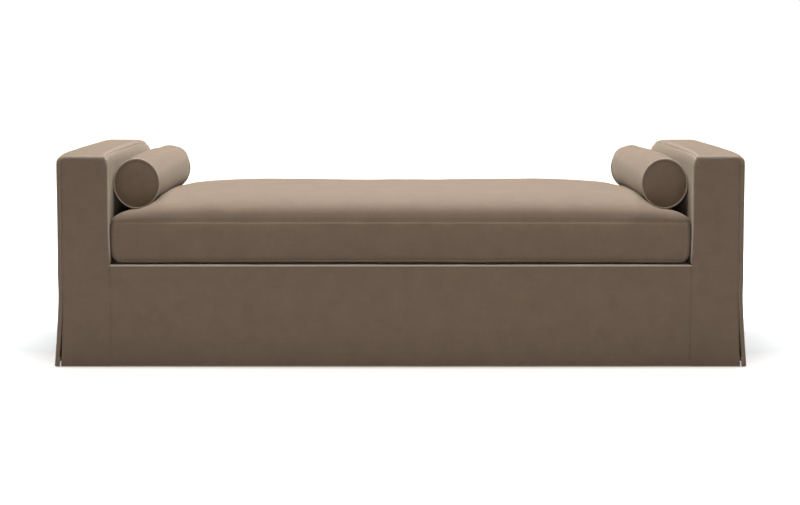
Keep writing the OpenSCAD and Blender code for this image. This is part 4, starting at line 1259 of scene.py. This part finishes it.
# %% Welts
RING_POINTS = 120
welt_maker = maker_tree(
    "welt_along_path", {"Cord radius": ("Float", WELT_R), "Wobble": ("Float", 0.0003)}, {
        "resample": ("GeometryNodeResampleCurve", {"Count": 220}),
        "noise": ("ShaderNodeTexNoise", {"Scale": 60.0}),
        "centre": ("ShaderNodeVectorMath", {1: (0.5, 0.5, 0.5)}, {"operation": "SUBTRACT"}),
        "size": ("ShaderNodeVectorMath", {}, {"operation": "SCALE"}),
        "move": "GeometryNodeSetPosition",
        "section": ("GeometryNodeCurvePrimitiveCircle", {"Resolution": 14}),
        "sweep": "GeometryNodeCurveToMesh",
    }, [("noise", "Color", "centre", 0), ("centre", 0, "size", 0), ("start", "Wobble", "size", "Scale"),
        ("resample", 0, "move", "Geometry"), ("size", 0, "move", "Offset"),
        ("start", "Cord radius", "section", "Radius"), ("move", 0, "sweep", "Curve"),
        ("section", 0, "sweep", "Profile Curve"), ("sweep", 0, "real", 0)])
for side, word in SIDES:
    points, edges = [], []
    for end in (-1, 1):
        start = len(points)
        for i in range(RING_POINTS):
            a = 2 * math.pi * i / RING_POINTS
            points.append((side * BOLSTER_X + (BOLSTER_A - 0.7 * WELT_R) * math.sin(a),
                           BOLSTER_Y + end * TUBE,
                           BOLSTER_Z + (BOLSTER_B - 0.7 * WELT_R) * math.cos(a)))
            edges.append((start + i, start + (i + 1) % RING_POINTS))
    # The welts take the paler velvet, a painted highlight on the rim.
    welt = grown(f"{word}_welts", welt_maker, points, edges, {"Material": velvet_painted_highlight}, f"{word}_bolster")
    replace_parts(welt, f"{word}_bolster_welts")
    print(welt.name, len(welt.data.polygons), "faces")

# %% [markdown]
# Each cover closes with a nylon zip: a woven tape with a coil on it, whose turns show as a row of
# small beads. On both sides of it the cloth is folded back to a lip and sewn down. Beads and
# stitches repeat along a path, so one tree makes both: it spaces points along the path and puts
# a rounded bead on each, turned along the path and away from the cloth.

# %% Beads
SMALL = (0.001, 0.001, 0.001)
SEGMENTS, RINGS = 8, 5
BEAD_FACES = SEGMENTS * RINGS
bead_maker = maker_tree(
    "beads_along_path",
    {"Pitch": ("Float", 0.0014), "Bead size": ("Vector", SMALL), "Outwards": ("Vector", SMALL)}, {
        "resample": ("GeometryNodeResampleCurve", {}, {"mode": "LENGTH"}),
        "tangent": "GeometryNodeInputTangent",
        "turn": ("FunctionNodeAxesToRotation", {}, {"primary_axis": "X", "secondary_axis": "Z"}),
        "bead": ("GeometryNodeMeshUVSphere", {"Segments": SEGMENTS, "Rings": RINGS, "Radius": 0.5}),
        "place": "GeometryNodeInstanceOnPoints",
    }, [("start", "Pitch", "resample", "Length"), ("tangent", 0, "turn", "Primary Axis"),
        ("start", "Outwards", "turn", "Secondary Axis"), ("resample", 0, "place", "Points"),
        ("bead", "Mesh", "place", "Instance"), ("turn", 0, "place", "Rotation"),
        ("start", "Bead size", "place", "Scale"), ("place", 0, "real", 0)])


def beads(name, lines, pitch, size, outwards, slot_name, body, mat=None):
    """A row of beads along each of the given lines of points."""
    points, edges = [], []
    for line in lines:
        edges += [(len(points) + i, len(points) + i + 1) for i in range(len(line) - 1)]
        points += [tuple(p) for p in line]
    values = {"Pitch": pitch, "Bead size": size, "Outwards": outwards, "Material": mat or finishes[slot_name]}
    return grown(name, bead_maker, points, edges, values, body)


print("bead tree:", len(bead_maker.nodes), "nodes")

# %% [markdown]
# A zip is described by one function that turns a distance along it, a distance across it and a
# height above the cloth into a point. The seat's zip runs straight along the rear of the band.
# A bolster's zip runs along its underside, so there the same strip bends round the tube.

# %% Zips


def seat_point(s, across, height):
    return points_at(s, ZIP_Y + height, ZIP_Z + across)


def bolster_point(side):
    def point(s, across, height):
        turn = ZIP_TURN + across / BOLSTER_R
        reach = BOLSTER_R + height
        x, z = CAD_BOLSTER_X + reach * np.sin(turn), BOLSTER_Z + reach * np.cos(turn)
        return points_at(side * x, BOLSTER_Y + s, z)
    return point


def strip(name, point, half, section, slot_name, body):
    """A strip along a zip with a closed section of (across, height) points."""
    grid = np.array([point(s, *np.array(section).T) for s in np.linspace(-half, half, 60)])
    return closed_rings(name, grid, slot_name, body)


TAPE_HALF, TAPE_FRONT, TAPE_BACK = 0.013, 0.0012, -0.0006
LIP_AT, LIP_R, LIP_WIDE = 0.0064, 0.0013, 0.0095
COIL_BEAD, COIL_PITCH = (0.0012, 0.0050, 0.0023), 0.00135
STITCH_BEAD, STITCH_PITCH = (0.0027, 0.0006, 0.0005), 0.0036
STITCH_ROWS = ((0.0088, 0.0022), (0.0142, 0.0009))


def lip_section(sign):
    """The cloth beside the coil: a fold, and from it a slope down to the level of the cover."""
    fold = [(LIP_AT - LIP_R * math.cos(a), 0.0011 + LIP_R * math.sin(a))
            for a in np.linspace(-1.2, math.pi / 2, 8)]
    slope = [(LIP_AT + d, 0.0024 - 0.0024 * (d / LIP_WIDE) ** 1.6)
             for d in (0.001, 0.002, 0.003, 0.0045, 0.006, 0.008, LIP_WIDE)]
    under = [(a, -0.0009) for a in np.linspace(LIP_AT + LIP_WIDE, LIP_AT - 0.0002, len(fold) + len(slope))]
    return [(sign * a, h) for a, h in fold + slope + under]


def zip_pieces(word, point, half, outwards, body, node):
    tape = [(a, TAPE_FRONT) for a in np.linspace(-TAPE_HALF, TAPE_HALF, 16)]
    tape += [(a, TAPE_BACK) for a in np.linspace(TAPE_HALF, -TAPE_HALF, 16)]
    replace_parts(strip(f"{word}_zip_tape", point, half, tape, "zip_tape", body), node)
    s = np.linspace(-half + 0.002, half - 0.002, 8)
    beads(f"{word}_zip_coil", [point(s, 0.0, 0.0021)], COIL_PITCH, COIL_BEAD, outwards, "zip_tape", body)
    for sign, label in ((-1, "low"), (1, "high")):
        lip = strip(f"{word}_zip_lip_{label}", point, half + 0.002, lip_section(sign), "taupe_velvet", body)
        lines = [point(s, sign * a, h) for a, h in STITCH_ROWS]
        # The stitches take the paler velvet with its painted highlight.
        stitches = beads(f"{word}_zip_stitches_{label}", lines, STITCH_PITCH, STITCH_BEAD, outwards,
                         "taupe_velvet", body, velvet_painted_highlight)
        print(lip.name, stitches.name, len(stitches.data.polygons), "faces")


zip_pieces("seat", seat_point, ZIP_HALF, (0, 1, 0), "seat_cushion", "seat_zip")
for side, word in SIDES:
    out = (side * math.sin(ZIP_TURN), 0, math.cos(ZIP_TURN))
    zip_pieces(f"{word}_bolster", bolster_point(side), BOLSTER_ZIP_HALF, out, f"{word}_bolster",
               f"{word}_bolster_zip")

# %% [markdown]
# Under the divan a thin black cloth keeps the dust out. It is cut to the frame, notched at the
# feet, stapled to the rails and sags a few millimetres between them. The staples repeat along
# the edge, which is one more job for the bead tree.

# %% Dust cloth
STAPLE, STAPLE_PITCH = (0.010, 0.0014, 0.0009), 0.05


def dust_lines(far, notch, hole, count):
    """Grid lines across the cloth, close together at its edges, with one on each side of the hole."""
    edge = cloth_steps(far - notch, 0.02)
    return np.concatenate([-edge[::-1] - notch, np.linspace(-notch, -hole, count)[1:-1], [-hole, 0, hole],
                           np.linspace(hole, notch, count)[1:-1], edge + notch])


def dust_cloth():
    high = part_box("dust_cover")[1]
    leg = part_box("centre_leg")
    corner = [v.co for v in frame["nodes"]["dust_cover"].data.vertices
              if v.co.x > 0.5 * high.x and v.co.y > 0.5 * high.y]
    notch_x, notch_y = min(v.x for v in corner), min(v.y for v in corner)
    hole = (leg[1].x - leg[0].x) / 2 + 0.001
    x, y = dust_lines(high.x, notch_x, hole, 40), dust_lines(high.y, notch_y, hole, 16)
    gx, gy = np.meshgrid(x, y)
    flat = points_at(gx, gy, 0.0)
    edge = np.minimum(high.x - np.abs(gx), high.y - np.abs(gy))
    sag = (1 - fade(edge, 0.045, 0.16)) * (0.004 + 0.001 * swell(flat, 0.2, 140))
    pucker = 0.0007 * swell(flat, 0.05, 141) * np.exp(-edge / 0.05)
    z = high.z - 0.0006 - sag - np.abs(pucker)
    near = np.maximum(np.abs(gx), np.abs(gy)) <= hole + 1e-6
    round_hole = hole / np.maximum(np.hypot(gx, gy), 1e-6)
    gx, gy = np.where(near, gx * round_hole, gx), np.where(near, gy * round_hole, gy)
    faces = []
    cols = len(x)
    for i in range(len(y) - 1):
        for j in range(cols - 1):
            mx, my = abs(x[j] + x[j + 1]) / 2, abs(y[i] + y[i + 1]) / 2
            if not (mx > notch_x and my > notch_y) and not (mx < hole and my < hole):
                at = i * cols + j
                faces.append((at, at + cols, at + cols + 1, at + 1))
    used = sorted({k for f in faces for k in f})
    order = {k: n for n, k in enumerate(used)}
    points = points_at(gx, gy, z).reshape(-1, 3)[used]
    area = 4 * (high.x * high.y - (high.x - notch_x) * (high.y - notch_y)) - math.pi * hole ** 2
    faces = [tuple(order[k] for k in f) for f in faces]
    return points, faces, (2 * high.x, 2 * high.y), area, (notch_x, notch_y)


points, faces, flat, area, (notch_x, notch_y) = dust_cloth()
dust = new_piece("dust_cloth", points, faces, slot_name="dust_cloth")
thicken(dust, 0.0005)
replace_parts(dust, "dust_cover")
inset, level = 0.012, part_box("dust_cover")[1].z - 0.0014
x, y = flat[0] / 2 - inset, flat[1] / 2 - inset
t = np.linspace(-1, 1, 5)
lines = [points_at(t * (notch_x - 0.02), k * y, level) for k in (-1, 1)]
lines += [points_at(k * x, t * (notch_y - 0.02), level) for k in (-1, 1)]
staples = beads("dust_staples", lines, STAPLE_PITCH, STAPLE, (0, 0, -1), "zinc_steel", "divan")
print("dust cloth", len(faces), "faces,", len(staples.data.polygons) // BEAD_FACES, "staples")
